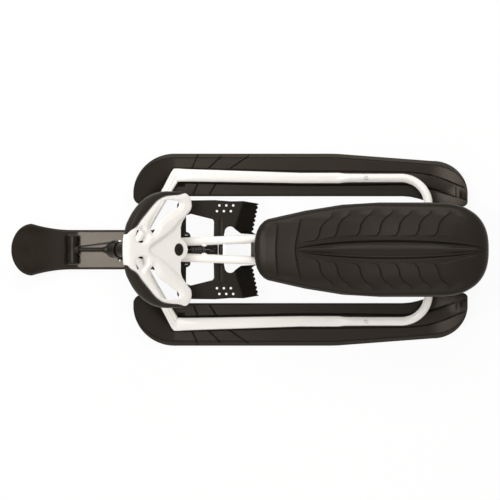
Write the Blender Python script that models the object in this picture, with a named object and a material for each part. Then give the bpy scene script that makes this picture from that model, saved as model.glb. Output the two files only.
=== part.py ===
"""Steering sled: a snow racer with one steered front ski, two fixed rear skis, a white tubular
frame, a long moulded seat, a folded foot brake and a tow rope on a spring reel.

Metres, +Z up, the front of the sled at -X, the rider's right at +Y. The origin is on the snow
under the middle of the sled.
"""

import math

import bmesh
import bpy
from mathutils import Matrix, Vector

# Fits
GAP = 0.0003             # between pieces that touch
BOLT_PLAY = 0.0003       # round a bolt in its hole
HANDS = ((1, "right"), (-1, "left"))

# Front ski
FRONT_TIP_X = -0.5853
FRONT_SKI_LENGTH = 0.380
FRONT_SKI_HALF = 0.050
FRONT_BLADE_HALF = 0.065
FRONT_BLADE_LENGTH = 0.145
FRONT_TIP_ROUND = 0.048
FRONT_RISE = 0.062
FRONT_RISE_LENGTH = 0.164
FRONT_SKI_TOP = 0.014

# Rear skis
REAR_TIP_X = -0.2880
REAR_SKI_LENGTH = 0.8430
SKI_OUTER = 0.2430
SKI_WIDTH = 0.1083
SKI_INNER = SKI_OUTER - SKI_WIDTH
SKI_TIP_FLARE = 0.0227
SKI_TAIL_FLARE = 0.0264
SKI_TAPER = 0.075
SKI_TOP = 0.0095
SKI_WALL = 0.0040
SKI_BAND = 0.0130
SPINE_HEIGHT = 0.0140
SPINE_HALF = 0.0150
KEEL_DEPTH = 0.0020
KEEL_HALF = 0.0045
TIP_RISE = 0.050
TIP_RISE_LENGTH = 0.104
TAIL_RISE = 0.030
TAIL_RISE_LENGTH = 0.100

# Frame tubes
RAIL_R = 0.0110
RAIL_BEND_R = 0.200
LEG_D = 0.0230
BAR_WIDE_FRONT = 0.0320
BAR_WIDE = 0.0260
BAR_TALL = 0.0155
HOOP_R = 0.01075
HOOP_BEND_R = 0.067
HOOP_KNEE_R = 0.045
HOOP_SHOULDER_R = 0.030
SPIGOT_R = 0.0086
SPIGOT_LENGTH = 0.028

# Frame layout
BAR_Y = SKI_OUTER - 0.0630
FOLD = Vector((-0.1780, BAR_Y + 0.0075, 0.0))    # where a leg folds into its bar
BAR_STRAIGHT_X = 0.134                   # the bars run parallel behind this
SWAGE_X = 0.232
SWAGE_LENGTH = 0.023
HOOP_X = 0.4505
HOOP_SHOULDER_Y = 0.072
RAIL_FRONT = Vector((-0.2560, 0.0, 0.1240))
RAIL_BEND_X = -0.020
RAIL_BACK_X = 0.4640
RAIL_HALF_AT_ORIGIN = 0.0252
RAIL_SPREAD = 0.0390
SEAT_RAIL_Z = 0.1518                     # centre of the rails under the seat

# Steering column
RAKE = math.radians(47.0)
HUB = Vector((-0.1626, 0.0, 0.2150))     # middle of the wheel, on the steering axis
HEAD_TOP = 0.106                         # the next lengths run down the axis from the hub
HEAD_LENGTH = 0.096
HEAD_R = 0.0170
HEAD_BORE_R = 0.0142
COLUMN_R = 0.0110
BUSH_LIP_R = 0.0170
BUSH_LIP = 0.0035

# Ski hinge
SKI_PIN_X = -0.3180
SKI_PIN_Z = 0.0280
SKI_PIN_R = 0.0040
SKI_EAR_R = 0.0090
SKI_EAR_Y = 0.0140
SKI_EAR_THICK = 0.0060

# Fasteners
BOLT_R = 0.0030
BOLT_HEAD_R = 0.0052
BOLT_HEAD = 0.0030
NUT_R = 0.0055
NUT = 0.0050
DRILL_REACH = 0.030                      # how far a drill starts from the middle of its hole

for old in list(bpy.data.objects):
    bpy.data.objects.remove(old, do_unlink=True)

sled = bpy.data.collections.new("steering_sled")
bpy.context.scene.collection.children.link(sled)


def material(name, colour, roughness, metallic=0.0):
    made = bpy.data.materials.new(name)
    made.use_nodes = True
    shader = made.node_tree.nodes["Principled BSDF"]
    shader.inputs["Base Color"].default_value = (*colour, 1.0)
    shader.inputs["Roughness"].default_value = roughness
    shader.inputs["Metallic"].default_value = metallic
    return made


WHITE_PAINT = material("white_paint", (0.86, 0.85, 0.82), 0.35)
WHITE_PLASTIC = material("white_plastic", (0.88, 0.87, 0.84), 0.40)
BLACK_PLASTIC = material("black_plastic", (0.030, 0.028, 0.026), 0.35)
BLACK_STEEL = material("black_steel", (0.035, 0.034, 0.032), 0.50, 0.3)
BRIGHT_STEEL = material("bright_steel", (0.62, 0.62, 0.62), 0.30, 1.0)
GRIP_RUBBER = material("grip_rubber", (0.025, 0.024, 0.023), 0.65)
SEAT_FOAM = material("seat_foam", (0.045, 0.038, 0.034), 0.60)
ROPE_FIBRE = material("rope_fibre", (0.030, 0.030, 0.030), 0.80)


def place(name, mesh, finish, parent=None):
    """Links a mesh as one named piece."""
    piece = bpy.data.objects.new(name, mesh)
    mesh.materials.clear()
    mesh.materials.append(finish)
    sled.objects.link(piece)
    if parent:
        piece.parent = parent
    return piece


def from_bmesh(name, bm, finish, parent=None, smooth=35.0):
    bmesh.ops.recalc_face_normals(bm, faces=bm.faces)
    mesh = bpy.data.meshes.new(name)
    bm.to_mesh(mesh)
    bm.free()
    mesh.shade_smooth()
    mesh.set_sharp_from_angle(angle=math.radians(smooth))
    return place(name, mesh, finish, parent)


def loft(name, rings, finish, parent=None):
    """A closed solid through rings of the same number of points, capped at both ends."""
    bm = bmesh.new()
    loops = [[bm.verts.new(point) for point in ring] for ring in rings]
    for near, far in zip(loops, loops[1:]):
        for i in range(len(near)):
            j = (i + 1) % len(near)
            bm.faces.new((near[i], near[j], far[j], far[i]))
    bm.faces.new(loops[0][::-1])
    bm.faces.new(loops[-1])
    return from_bmesh(name, bm, finish, parent)


def settle(piece):
    """Turns what the viewport shows of a piece into its plain mesh."""
    graph = bpy.context.evaluated_depsgraph_get()
    mesh = bpy.data.meshes.new_from_object(piece.evaluated_get(graph))
    piece.modifiers.clear()
    piece.data = mesh
    return piece


def tube(name, points, radius, finish, parent=None, sides=4):
    """A round tube or rod along points, as one closed mesh."""
    curve = bpy.data.curves.new(name, "CURVE")
    curve.dimensions = "3D"
    curve.bevel_depth = radius
    curve.bevel_resolution = sides
    curve.use_fill_caps = True
    spline = curve.splines.new("POLY")
    spline.points.add(len(points) - 1)
    for spot, point in zip(spline.points, points):
        spot.co = (*point, 1.0)
    guide = bpy.data.objects.new(name + "_guide", curve)
    sled.objects.link(guide)
    bm = bmesh.new()
    graph = bpy.context.evaluated_depsgraph_get()
    mesh = bpy.data.meshes.new_from_object(guide.evaluated_get(graph))
    bm.from_mesh(mesh)
    bpy.data.objects.remove(guide, do_unlink=True)
    bmesh.ops.remove_doubles(bm, verts=bm.verts, dist=1e-6)
    return from_bmesh(name, bm, finish, parent)


def bent_path(corners, radius, step=15.0):
    """The centre line of a bent tube: straight runs joined by arcs of one radius."""
    path = [corners[0]]
    for before, corner, after in zip(corners, corners[1:], corners[2:]):
        into = (corner - before).normalized()
        out = (after - corner).normalized()
        turn = into.angle(out)
        start = corner - into * radius * math.tan(turn / 2)
        axis = into.cross(out).normalized()
        centre = start + axis.cross(into) * radius
        steps = max(1, math.ceil(math.degrees(turn) / step))
        for i in range(steps + 1):
            path.append(centre + Matrix.Rotation(turn * i / steps, 3, axis) @ (start - centre))
    path.append(corners[-1])
    return path


def drum(bm, radius, low, high, segments=20):
    """Adds a cylinder between two heights on the Z axis to a bmesh."""
    made = bmesh.ops.create_cone(
        bm, cap_ends=True, segments=segments, radius1=radius, radius2=radius,
        depth=high - low, matrix=Matrix.Translation((0, 0, (low + high) / 2)))
    return made["verts"]


def aim(point, direction):
    """The matrix that stands a shape made on Z at a point, along a direction."""
    turn = Vector((0, 0, 1)).rotation_difference(Vector(direction)).to_matrix().to_4x4()
    return Matrix.Translation(point) @ turn


def rod(name, start, direction, length, radius, finish, parent=None, segments=20):
    bm = bmesh.new()
    verts = drum(bm, radius, 0.0, length, segments)
    bmesh.ops.transform(bm, matrix=aim(start, direction), verts=verts)
    return from_bmesh(name, bm, finish, parent)


def boolean(piece, other, operation="DIFFERENCE"):
    """Cuts or joins with the EXACT solver and keeps the result as the piece's own mesh."""
    for face in piece.data.polygons:
        face.material_index = 0
    step = piece.modifiers.new(operation.lower(), "BOOLEAN")
    step.operation = operation
    step.object = other
    settle(piece)
    bpy.data.objects.remove(other, do_unlink=True)
    return piece


def drill(piece, start, direction, length, radius, segments=12):
    hole = rod("drill", start, direction, length, radius, BRIGHT_STEEL, piece.parent, segments)
    return boolean(piece, hole)


def ease(t):
    t = min(1.0, max(0.0, t))
    return t * t * (3 - 2 * t)


def quarter(t):
    """Height of a unit quarter circle, 0 at t=0 and 1 at t=1."""
    return math.sqrt(max(0.0, 1 - (1 - min(1.0, max(0.0, t))) ** 2))


def spread(start, end, count, crowd_start=False, crowd_end=False):
    """Stations from start to end, crowded where the outline turns fast."""
    stations = []
    for i in range(count + 1):
        t = i / count
        if crowd_start:
            t = 1 - math.cos(math.pi * t / 2)
        elif crowd_end:
            t = math.sin(math.pi * t / 2)
        stations.append(start + (end - start) * t)
    return stations


# Rear skis: moulded blades with twin tips. A hollow spine stiffens each blade and carries its bar.
REAR_TAIL_X = REAR_TIP_X + REAR_SKI_LENGTH
TIP_ROUND_X = 0.101
TIP_ROUND_Y = 0.1035
TIP_INNER_ROUND = 0.022
TAIL_ROUND = 0.084
TAIL_INNER_ROUND = 0.012
FLARE_LENGTH = 0.095
TAIL_TAPER = 0.160
TAIL_TAPER_X = REAR_TAIL_X - TAIL_TAPER
SKI_TAIL_INNER_END = 0.034
SPINE_FADE = 0.050


def bar_y(x):
    """Centre line of the right bar, which runs in slightly from its fold."""
    t = min(1.0, max(0.0, (x - FOLD.x) / (BAR_STRAIGHT_X - FOLD.x)))
    return FOLD.y + (BAR_Y - FOLD.y) * t


def ski_outer(x):
    taper_x = REAR_TAIL_X - TAIL_ROUND
    taper = SKI_OUTER - SKI_TAPER * max(0.0, min(x, taper_x) - (FOLD.x + BAR_STRAIGHT_X * 3))
    if x < REAR_TIP_X + TIP_ROUND_X:
        low = SKI_OUTER - TIP_ROUND_Y
        return low + (taper - low) * quarter((x - REAR_TIP_X) / TIP_ROUND_X)
    if x > taper_x:
        low = taper - TAIL_ROUND
        return low + TAIL_ROUND * quarter((REAR_TAIL_X - x) / TAIL_ROUND)
    return taper


def ski_inner(x):
    flare_x = REAR_TIP_X + TIP_INNER_ROUND
    edge = SKI_INNER - SKI_TIP_FLARE * (1 - ease((x - flare_x) / FLARE_LENGTH))
    tail_t = (x - TAIL_TAPER_X) / (TAIL_TAPER - SKI_TAIL_INNER_END)
    edge -= SKI_TAIL_FLARE * ease(tail_t)
    edge += TIP_INNER_ROUND * (1 - quarter((x - REAR_TIP_X) / TIP_INNER_ROUND))
    edge += TAIL_INNER_ROUND * (1 - quarter((REAR_TAIL_X - x) / TAIL_INNER_ROUND))
    return edge


def ski_rise(x):
    tip = max(0.0, (REAR_TIP_X + TIP_RISE_LENGTH - x) / TIP_RISE_LENGTH)
    tail = max(0.0, (x - REAR_TAIL_X + TAIL_RISE_LENGTH) / TAIL_RISE_LENGTH)
    return TIP_RISE * tip ** 1.8 + TAIL_RISE * tail ** 1.8


def spine_rise(x):
    front = ease((x - REAR_TIP_X - TIP_ROUND_X / 2) / SPINE_FADE)
    back = ease((REAR_TAIL_X - x - SPINE_FADE / 3) / (2 * SPINE_FADE))
    return SPINE_HEIGHT * front * back


def ski_ring(x, side):
    """The blade's section at x: top from the inner to the outer edge, then the sole back."""
    inner, outer = ski_inner(x), ski_outer(x)
    q = min(1.0, (outer - inner) / (SKI_OUTER - SKI_INNER))
    drift = max(0.0, x - TAIL_TAPER_X)
    middle = (inner + outer) / 2
    spine = middle + (bar_y(x) - 1.9 * drift ** 2 - middle) * ease((x - REAR_TIP_X) / TIP_ROUND_X)
    h = spine_rise(x)
    foot = SPINE_HALF + 0.0025
    hollow = SPINE_HALF - SKI_WALL + 0.0015
    section = [
        (inner, 0.0042), (inner + 0.0006 * q, 0.0070), (inner + 0.0040 * q, SKI_TOP),
        (spine - foot * q, SKI_TOP), (spine - SPINE_HALF * q, SKI_TOP + h),
        (spine + SPINE_HALF * q, SKI_TOP + h), (spine + foot * q, SKI_TOP),
        (outer - SKI_BAND * q, SKI_TOP), (outer - (SKI_BAND - 0.0012) * q, SKI_TOP - 0.0012),
        (outer - 0.0008 * q, 0.0066), (outer, 0.0042), (outer - 0.0020 * q, KEEL_DEPTH)]
    for keel in (outer - 0.0240 * q, spine, inner + 0.0140 * q):
        if keel == spine:
            section += [(spine + hollow * q, KEEL_DEPTH),
                        (spine + (hollow - 0.0010) * q, SKI_TOP + h - SKI_WALL),
                        (spine - (hollow - 0.0010) * q, SKI_TOP + h - SKI_WALL),
                        (spine - hollow * q, KEEL_DEPTH)]
        else:
            section += [(keel + (KEEL_HALF + 0.0010) * q, KEEL_DEPTH), (keel + KEEL_HALF * q, 0.0),
                        (keel - KEEL_HALF * q, 0.0), (keel - (KEEL_HALF + 0.0010) * q, KEEL_DEPTH)]
    section.append((inner + 0.0020 * q, KEEL_DEPTH))
    rise = ski_rise(x)
    return [Vector((x, side * y, z + rise)) for y, z in section]


def rear_ski(name, side):
    flat_front = REAR_TIP_X + TIP_RISE_LENGTH
    flat_back = REAR_TAIL_X - TAIL_RISE_LENGTH
    stations = spread(REAR_TIP_X + 0.0004, flat_front, 10, crowd_start=True)
    stations += spread(flat_front, flat_back, 5)[1:]
    stations += spread(flat_back, REAR_TAIL_X - 0.0004, 9, crowd_end=True)[1:]
    return loft(name, [ski_ring(x, side) for x in stations], BLACK_PLASTIC)


REAR_SKI_BOLTS = (-0.1480, 0.2996)       # x of the blind front bolt and of the through bolt
SPINE_TOP = SKI_TOP + SPINE_HEIGHT
SPINE_CEILING = SPINE_TOP - SKI_WALL
BAR_BOTTOM = SPINE_TOP + GAP

for side, hand in HANDS:
    ski = rear_ski("rear_ski_" + hand, side)
    for x in REAR_SKI_BOLTS:
        drill(ski, (x, side * bar_y(x), SPINE_CEILING - 0.002), (0, 0, 1), 0.008,
              BOLT_R + BOLT_PLAY)


# Front ski: one blade that pitches on a pin between two ears.
FRONT_BACK_X = FRONT_TIP_X + FRONT_SKI_LENGTH
FRONT_BACK_ROUND = 0.020


def front_half(x):
    """Half the width of the front blade."""
    if x < FRONT_TIP_X + FRONT_TIP_ROUND:
        return FRONT_BLADE_HALF * quarter((x - FRONT_TIP_X) / FRONT_TIP_ROUND)
    t = min(1.0, (x - FRONT_TIP_X - FRONT_TIP_ROUND) / (FRONT_BLADE_LENGTH - FRONT_TIP_ROUND))
    half = FRONT_SKI_HALF + (FRONT_BLADE_HALF - FRONT_SKI_HALF) * (1 - t) ** 2
    return half - FRONT_BACK_ROUND * (1 - quarter((FRONT_BACK_X - x) / FRONT_BACK_ROUND))


def front_ring(x):
    half = front_half(x)
    q = half / FRONT_SKI_HALF
    tip = max(0.0, (FRONT_TIP_X + FRONT_RISE_LENGTH - x) / FRONT_RISE_LENGTH)
    rise = FRONT_RISE * tip ** 1.6
    top = FRONT_SKI_TOP
    right = [(0.0, top), (half - 0.0090 * q, top), (half - 0.0055 * q, top - 0.0012),
             (half - 0.0032 * q, top - 0.0002), (half - 0.0008 * q, top - 0.0012),
             (half, top - 0.0045), (half - 0.0020 * q, KEEL_DEPTH + 0.0030),
             (half - 0.0100 * q, KEEL_DEPTH + 0.0030), (half - 0.0115 * q, 0.0),
             (half - 0.0205 * q, 0.0), (half - 0.0220 * q, KEEL_DEPTH + 0.0030),
             (0.0130 * q, KEEL_DEPTH + 0.0030), (0.0100 * q, top - SKI_WALL)]
    section = right + [(-y, z) for y, z in reversed(right[1:])]
    return [Vector((x, y, z + rise)) for y, z in section]


front_flat = FRONT_TIP_X + FRONT_RISE_LENGTH
front_stations = spread(FRONT_TIP_X + 0.0003, front_flat, 13, crowd_start=True)
front_stations += spread(front_flat, FRONT_BACK_X - FRONT_BACK_ROUND, 2)[1:]
front_stations += spread(FRONT_BACK_X - FRONT_BACK_ROUND, FRONT_BACK_X - 0.0003, 3,
                         crowd_end=True)[1:]
front_ski = loft("front_ski", [front_ring(x) for x in front_stations], BLACK_PLASTIC)


def ski_ear(side):
    """A cheek that stands on the front ski and holds its pin."""
    bm = bmesh.new()
    low = FRONT_SKI_TOP - 0.0020
    verts = drum(bm, SKI_EAR_R, 0.0, SKI_EAR_THICK, 20)
    for vert in verts:
        if vert.co.y < 0:
            vert.co.y -= (SKI_PIN_Z - low - SKI_EAR_R) if vert.co.y < -SKI_EAR_R / 2 else 0.0
            vert.co.x *= 1.0 + 0.5 * (-vert.co.y / SKI_PIN_Z)
    turn = Matrix.Translation((SKI_PIN_X, side * SKI_EAR_Y if side > 0 else -SKI_EAR_Y
                               - SKI_EAR_THICK, SKI_PIN_Z)) @ Matrix(
        ((1, 0, 0, 0), (0, 0, 1, 0), (0, 1, 0, 0), (0, 0, 0, 1)))
    bmesh.ops.transform(bm, matrix=turn, verts=bm.verts)
    return from_bmesh("ear", bm, BLACK_PLASTIC)


for side in (1, -1):
    boolean(front_ski, ski_ear(side), "UNION")
drill(front_ski, (SKI_PIN_X, -DRILL_REACH, SKI_PIN_Z), (0, 1, 0), 2 * DRILL_REACH,
      SKI_PIN_R + BOLT_PLAY)


# White frame. The head tube and all that lies along the column hang on one tilted empty, whose
# Z axis runs up the column and whose X axis points back and down.
def steering_empty(name):
    empty = bpy.data.objects.new(name, None)
    empty.location = HUB
    empty.rotation_euler = (0, RAKE, 0)
    sled.objects.link(empty)
    return empty


head_axis = steering_empty("head_axis")
steering_axis = steering_empty("steering_axis")
reel_axis = steering_empty("reel_axis")
bpy.context.view_layer.update()
UP_COLUMN = Vector((math.sin(RAKE), 0.0, math.cos(RAKE)))


def down_column(distance):
    """World point on the steering axis, a distance down from the hub."""
    return HUB - UP_COLUMN * distance


def head_socket():
    """Cutter that copes a tube to the outside of the head tube."""
    start = down_column(HEAD_TOP + 2 * HEAD_LENGTH)
    return rod("cope", start, UP_COLUMN, 3 * HEAD_LENGTH, HEAD_R + GAP, WHITE_PAINT, segments=32)


def pipe(name, outer, inner, top, bottom, finish, parent, segments=24):
    """A straight tube along the column, between two distances down from the hub."""
    bm = bmesh.new()
    drum(bm, outer, -bottom, -top, segments)
    piece = from_bmesh(name, bm, finish, parent)
    reach = 0.010
    bore = bmesh.new()
    drum(bore, inner, -bottom - reach, -top + reach, segments)
    return boolean(piece, from_bmesh("bore", bore, finish, parent))


HEAD_BOTTOM = HEAD_TOP + HEAD_LENGTH
pipe("head_tube", HEAD_R, HEAD_BORE_R, HEAD_TOP, HEAD_BOTTOM, WHITE_PAINT, head_axis)


def bush(name, lip_low, lip_high, sleeve_low, sleeve_high):
    """A flanged bush on the column axis, given as heights in the column's frame."""
    bm = bmesh.new()
    drum(bm, BUSH_LIP_R, lip_low, lip_high, 24)
    piece = from_bmesh(name, bm, BLACK_PLASTIC, head_axis)
    sleeve = bmesh.new()
    drum(sleeve, HEAD_BORE_R - 2 * GAP, sleeve_low, sleeve_high)
    boolean(piece, from_bmesh("sleeve", sleeve, BLACK_PLASTIC, head_axis), "UNION")
    bore = bmesh.new()
    drum(bore, COLUMN_R + GAP, sleeve_low - lip_high + lip_low - 0.01,
         sleeve_high + lip_high - lip_low + 0.01)
    return boolean(piece, from_bmesh("bore", bore, BLACK_PLASTIC, head_axis))


BUSH_SLEEVE = 0.016
bush("head_bush_upper", GAP - HEAD_TOP, GAP - HEAD_TOP + BUSH_LIP,
     -HEAD_TOP - BUSH_SLEEVE, GAP - HEAD_TOP + BUSH_LIP / 2)
bush("head_bush_lower", -HEAD_BOTTOM - GAP - BUSH_LIP, -HEAD_BOTTOM - GAP,
     -HEAD_BOTTOM - GAP - BUSH_LIP / 2, -HEAD_BOTTOM + BUSH_SLEEVE)


def section_ring(centre, wide, up, width, height, square=2.0, count=20):
    """A superellipse section: square 2 is an oval, and more is flatter with tighter sides."""
    ring = []
    for i in range(count):
        angle = 2 * math.pi * (i + 0.5) / count
        across = math.copysign(abs(math.cos(angle)) ** (2 / square), math.cos(angle))
        rise = math.copysign(abs(math.sin(angle)) ** (2 / square), math.sin(angle))
        ring.append(centre + wide * across * width / 2 + up * rise * height / 2)
    return ring


LEG_TOP = 0.160                          # where the legs meet the head, down from the hub
LEG_STUB = 0.0080                        # from the head's axis to the leg's buried end
FOLD_WIDE = 0.0335
FOLD_TALL = 0.0115


def side_tube(name, side):
    """A pressed tube: round leg, flat fold, oval bar, and a swaged spigot for the hoop."""
    fold = Vector((FOLD.x, side * FOLD.y, BAR_BOTTOM + FOLD_TALL / 2))
    head = down_column(LEG_TOP)
    run = (fold - head).normalized()
    up = Vector((0, 0, 1))
    leg_wide = up.cross(run).normalized() * side
    leg_up = run.cross(leg_wide) * side
    rings = [section_ring(head + run * LEG_STUB, leg_wide, leg_up, LEG_D, LEG_D)]
    for before_fold, width, height, square in (
            (0.075, LEG_D, LEG_D, 2.0), (0.040, 0.0245, 0.0195, 2.3), (0.017, 0.0262, 0.0140, 3.0)):
        centre = fold - run * before_fold
        rings.append(section_ring(centre, leg_wide, leg_up, width, height, square))
    crease = Vector((-0.266, side * 0.964, 0.0)) * side
    rings.append(section_ring(fold, crease * side, up, FOLD_WIDE, FOLD_TALL, 3.4))
    across = Vector((0, side, 0))
    spigot_x = SWAGE_X + SWAGE_LENGTH
    for x, width, height, square in (
            (FOLD.x + 0.016, BAR_WIDE_FRONT, BAR_TALL * 0.9, 3.0),
            (FOLD.x + 0.045, BAR_WIDE_FRONT * 0.97, BAR_TALL, 2.6),
            (BAR_STRAIGHT_X, BAR_WIDE, BAR_TALL, 2.6), (SWAGE_X, BAR_WIDE, BAR_TALL, 2.6),
            (SWAGE_X + SWAGE_LENGTH * 0.55, 0.0228, 0.0198, 2.2),
            (spigot_x, 2 * HOOP_R, 2 * HOOP_R, 2.0)):
        centre = Vector((x, side * bar_y(x), BAR_BOTTOM + height / 2))
        rings.append(section_ring(centre, across, up, width, height, square))
    middle = Vector((0, side * BAR_Y, BAR_BOTTOM + HOOP_R))
    for x in (spigot_x + GAP / 3, spigot_x + SPIGOT_LENGTH):
        rings.append(section_ring(middle + Vector((x, 0, 0)), across, up,
                                  2 * SPIGOT_R, 2 * SPIGOT_R))
    tube_piece = loft(name, rings, WHITE_PAINT)
    boolean(tube_piece, head_socket())
    x = REAR_SKI_BOLTS[0]
    return drill(tube_piece, (x, side * bar_y(x), BAR_BOTTOM - 0.005), (0, 0, 1), 0.014,
                 BOLT_R + BOLT_PLAY)


for side, hand in HANDS:
    side_tube("side_tube_" + hand, side)


def rail_y(x):
    return RAIL_HALF_AT_ORIGIN + RAIL_SPREAD * x


HOOP_TOP_Z = SEAT_RAIL_Z - RAIL_R - GAP - HOOP_R    # centre of the hoop's crossing
HOOP_START_X = SWAGE_X + SWAGE_LENGTH + GAP
HOOP_KNEE = Vector((HOOP_X + 0.004, BAR_Y - 0.076, 0.058))


def rear_hoop():
    """The arch between the bars: it rises and crosses under the rails."""
    low = BAR_BOTTOM + HOOP_R
    right = [Vector((HOOP_START_X, BAR_Y, low)), Vector((HOOP_X + 0.002, BAR_Y, low)),
             HOOP_KNEE, Vector((HOOP_X, HOOP_SHOULDER_Y, HOOP_TOP_Z))]
    left = [Vector((p.x, -p.y, p.z)) for p in reversed(right)]
    corners = right + left
    path = [corners[0]]
    radii = [HOOP_BEND_R, HOOP_KNEE_R, HOOP_SHOULDER_R]
    radii += radii[::-1]
    for i, bend in enumerate(radii):
        before = path[-1]
        path += bent_path([before, corners[i + 1], corners[i + 2]], bend, 20.0)[1:-1]
    path.append(corners[-1])
    return tube("rear_hoop", path, HOOP_R, WHITE_PAINT, sides=3)


hoop = rear_hoop()
RAIL_BOLT_X = HOOP_X
for side in (1, -1):
    drill(hoop, (HOOP_START_X - 0.005, side * BAR_Y, BAR_BOTTOM + HOOP_R), (1, 0, 0),
          SPIGOT_LENGTH + 0.006, SPIGOT_R + GAP)
    drill(hoop, (REAR_SKI_BOLTS[1], side * BAR_Y, BAR_BOTTOM - DRILL_REACH), (0, 0, 1),
          3 * DRILL_REACH, BOLT_R + BOLT_PLAY)
    drill(hoop, (RAIL_BOLT_X, side * rail_y(RAIL_BOLT_X), HOOP_TOP_Z - DRILL_REACH), (0, 0, 1),
          2 * DRILL_REACH, BOLT_R + BOLT_PLAY)

SEAT_BOLTS_X = (0.110, 0.385)


def main_rail(name, side):
    corners = [Vector((RAIL_FRONT.x, side * rail_y(RAIL_FRONT.x), RAIL_FRONT.z)),
               Vector((RAIL_BEND_X, side * rail_y(RAIL_BEND_X), SEAT_RAIL_Z)),
               Vector((RAIL_BACK_X, side * rail_y(RAIL_BACK_X), SEAT_RAIL_Z))]
    rail = tube(name, bent_path(corners, RAIL_BEND_R, 3.5), RAIL_R, WHITE_PAINT)
    boolean(rail, head_socket())
    for x in SEAT_BOLTS_X + (RAIL_BOLT_X,):
        drill(rail, (x, side * rail_y(x), SEAT_RAIL_Z - DRILL_REACH), (0, 0, 1), 2 * DRILL_REACH,
              BOLT_R + BOLT_PLAY)
    return rail


for side, hand in HANDS:
    main_rail("main_rail_" + hand, side)


# Seat: an open-bottomed pan with two pads on the rails, and a long moulded cushion on top.
SEAT_FRONT_X = 0.0184
SEAT_BACK_X = 0.5855
SEAT_NOSE = 0.034
SEAT_TAIL = 0.135
SEAT_NOSE_HALF = 0.073
SEAT_HALF = 0.113
SEAT_WIDEST_X = 0.323
SEAT_SQUARE = 2.5
PAN_BASE_Z = SEAT_RAIL_Z + RAIL_R + GAP
PAN_TALL = 0.0170
PAN_DECK = 0.0040
PAN_WALL = 0.0040
PAN_LIP = 0.0018
PAN_PAD_IN = 0.0130
PAN_PAD_OUT = 0.0560
CUSHION_FRONT_Z = 0.2160
CUSHION_LIFT = 0.0200
VALLEY_FRONT_X = 0.1196
VALLEY_BACK_X = 0.5755
VALLEY_HALF = 0.0232
VALLEY_DEPTH = 0.0080
VALLEY_FULLNESS = 0.55
NOSE_STEPS = (0.0692, 0.1160)            # where the two bands across the nose end
TREAD_FRONT_X = 0.1645                   # where the first of the scales behind them ends
TREAD_PITCH = 0.0473
TREAD_COUNT = 7
TREAD_DEPTH = 0.0021
TREAD_DROP = 0.0018                      # the length of each step's steep face
TREAD_SLANT = 0.50


def squared(t):
    """Like quarter, for an outline that is fuller in its corners."""
    return (1 - (1 - min(1.0, max(0.0, t))) ** SEAT_SQUARE) ** (1 / SEAT_SQUARE)


def seat_half(x):
    """Half the seat's width at x."""
    nose_end = SEAT_FRONT_X + SEAT_NOSE
    if x < nose_end:
        return SEAT_NOSE_HALF * squared((x - SEAT_FRONT_X) / SEAT_NOSE)
    growth = math.sin(math.pi / 2 * min(1.0, (x - nose_end) / (SEAT_WIDEST_X - nose_end)))
    half = SEAT_NOSE_HALF + (SEAT_HALF - SEAT_NOSE_HALF) * growth
    return half * squared((SEAT_BACK_X - x) / SEAT_TAIL)


def mirrored_ring(x, half_section):
    """A closed section from points that start and end on the middle plane, at x offsets."""
    other = [(dx, -y, z) for dx, y, z in half_section[-2:0:-1]]
    return [Vector((x + dx, y, z)) for dx, y, z in half_section + other]


def pan_ring(x, open_below):
    half = seat_half(x) + PAN_LIP
    base, top = PAN_BASE_Z, PAN_BASE_Z + PAN_TALL
    roof = top - PAN_DECK if open_below else base + 0.0030
    q = min(1.0, half / (PAN_PAD_OUT + 0.030))
    section = [(0.0, top), (half, top), (half, top - 0.0030), (half - 0.0080 * q, base + 0.0030),
               (half - (0.0080 + PAN_WALL) * q, base + 0.0030), (half - 0.0140 * q, roof),
               (PAN_PAD_OUT * q, roof), ((PAN_PAD_OUT - 0.0010) * q, base),
               (PAN_PAD_IN * q, base), ((PAN_PAD_IN - 0.0010) * q, roof), (0.0, roof)]
    return mirrored_ring(x, [(0.0, y, z) for y, z in section])


end_wall = 0.0060
pan_rings = []
for x in spread(SEAT_FRONT_X - PAN_LIP + 0.0020, SEAT_FRONT_X + SEAT_NOSE * 0.4, 2):
    pan_rings.append(pan_ring(x, False))
inside = spread(SEAT_FRONT_X + SEAT_NOSE * 0.4 + 0.001, SEAT_FRONT_X + SEAT_NOSE, 2)
inside += spread(SEAT_FRONT_X + SEAT_NOSE, SEAT_WIDEST_X, 3)[1:]
inside += spread(SEAT_WIDEST_X, SEAT_BACK_X - end_wall - 0.006, 6, crowd_end=True)[1:]
for x in inside:
    pan_rings.append(pan_ring(x, True))
for x in (SEAT_BACK_X - end_wall - 0.005, SEAT_BACK_X - 0.004, SEAT_BACK_X - 0.0005):
    pan_rings.append(pan_ring(x, False))
seat_pan = loft("seat_pan", pan_rings, BLACK_PLASTIC)

TAB_HALF = 0.0176
TAB_FRONT_X = 0.0110
bm = bmesh.new()
bmesh.ops.create_cube(bm, size=1.0)
bmesh.ops.scale(bm, vec=(0.040, 2 * TAB_HALF, 0.0090), verts=bm.verts)
bmesh.ops.bevel(bm, geom=list(bm.edges), offset=0.0020, segments=2, profile=0.5, affect="EDGES")
bmesh.ops.translate(bm, vec=(TAB_FRONT_X + 0.020, 0, PAN_BASE_Z + 0.0050), verts=bm.verts)
boolean(seat_pan, from_bmesh("tab", bm, BLACK_PLASTIC), "UNION")
SEAT_BOLT_DEPTH = 0.0100
for x in SEAT_BOLTS_X:
    for side in (1, -1):
        drill(seat_pan, (x, side * rail_y(x), PAN_BASE_Z - 0.005), (0, 0, 1),
              0.005 + SEAT_BOLT_DEPTH, BOLT_R + BOLT_PLAY)


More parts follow.
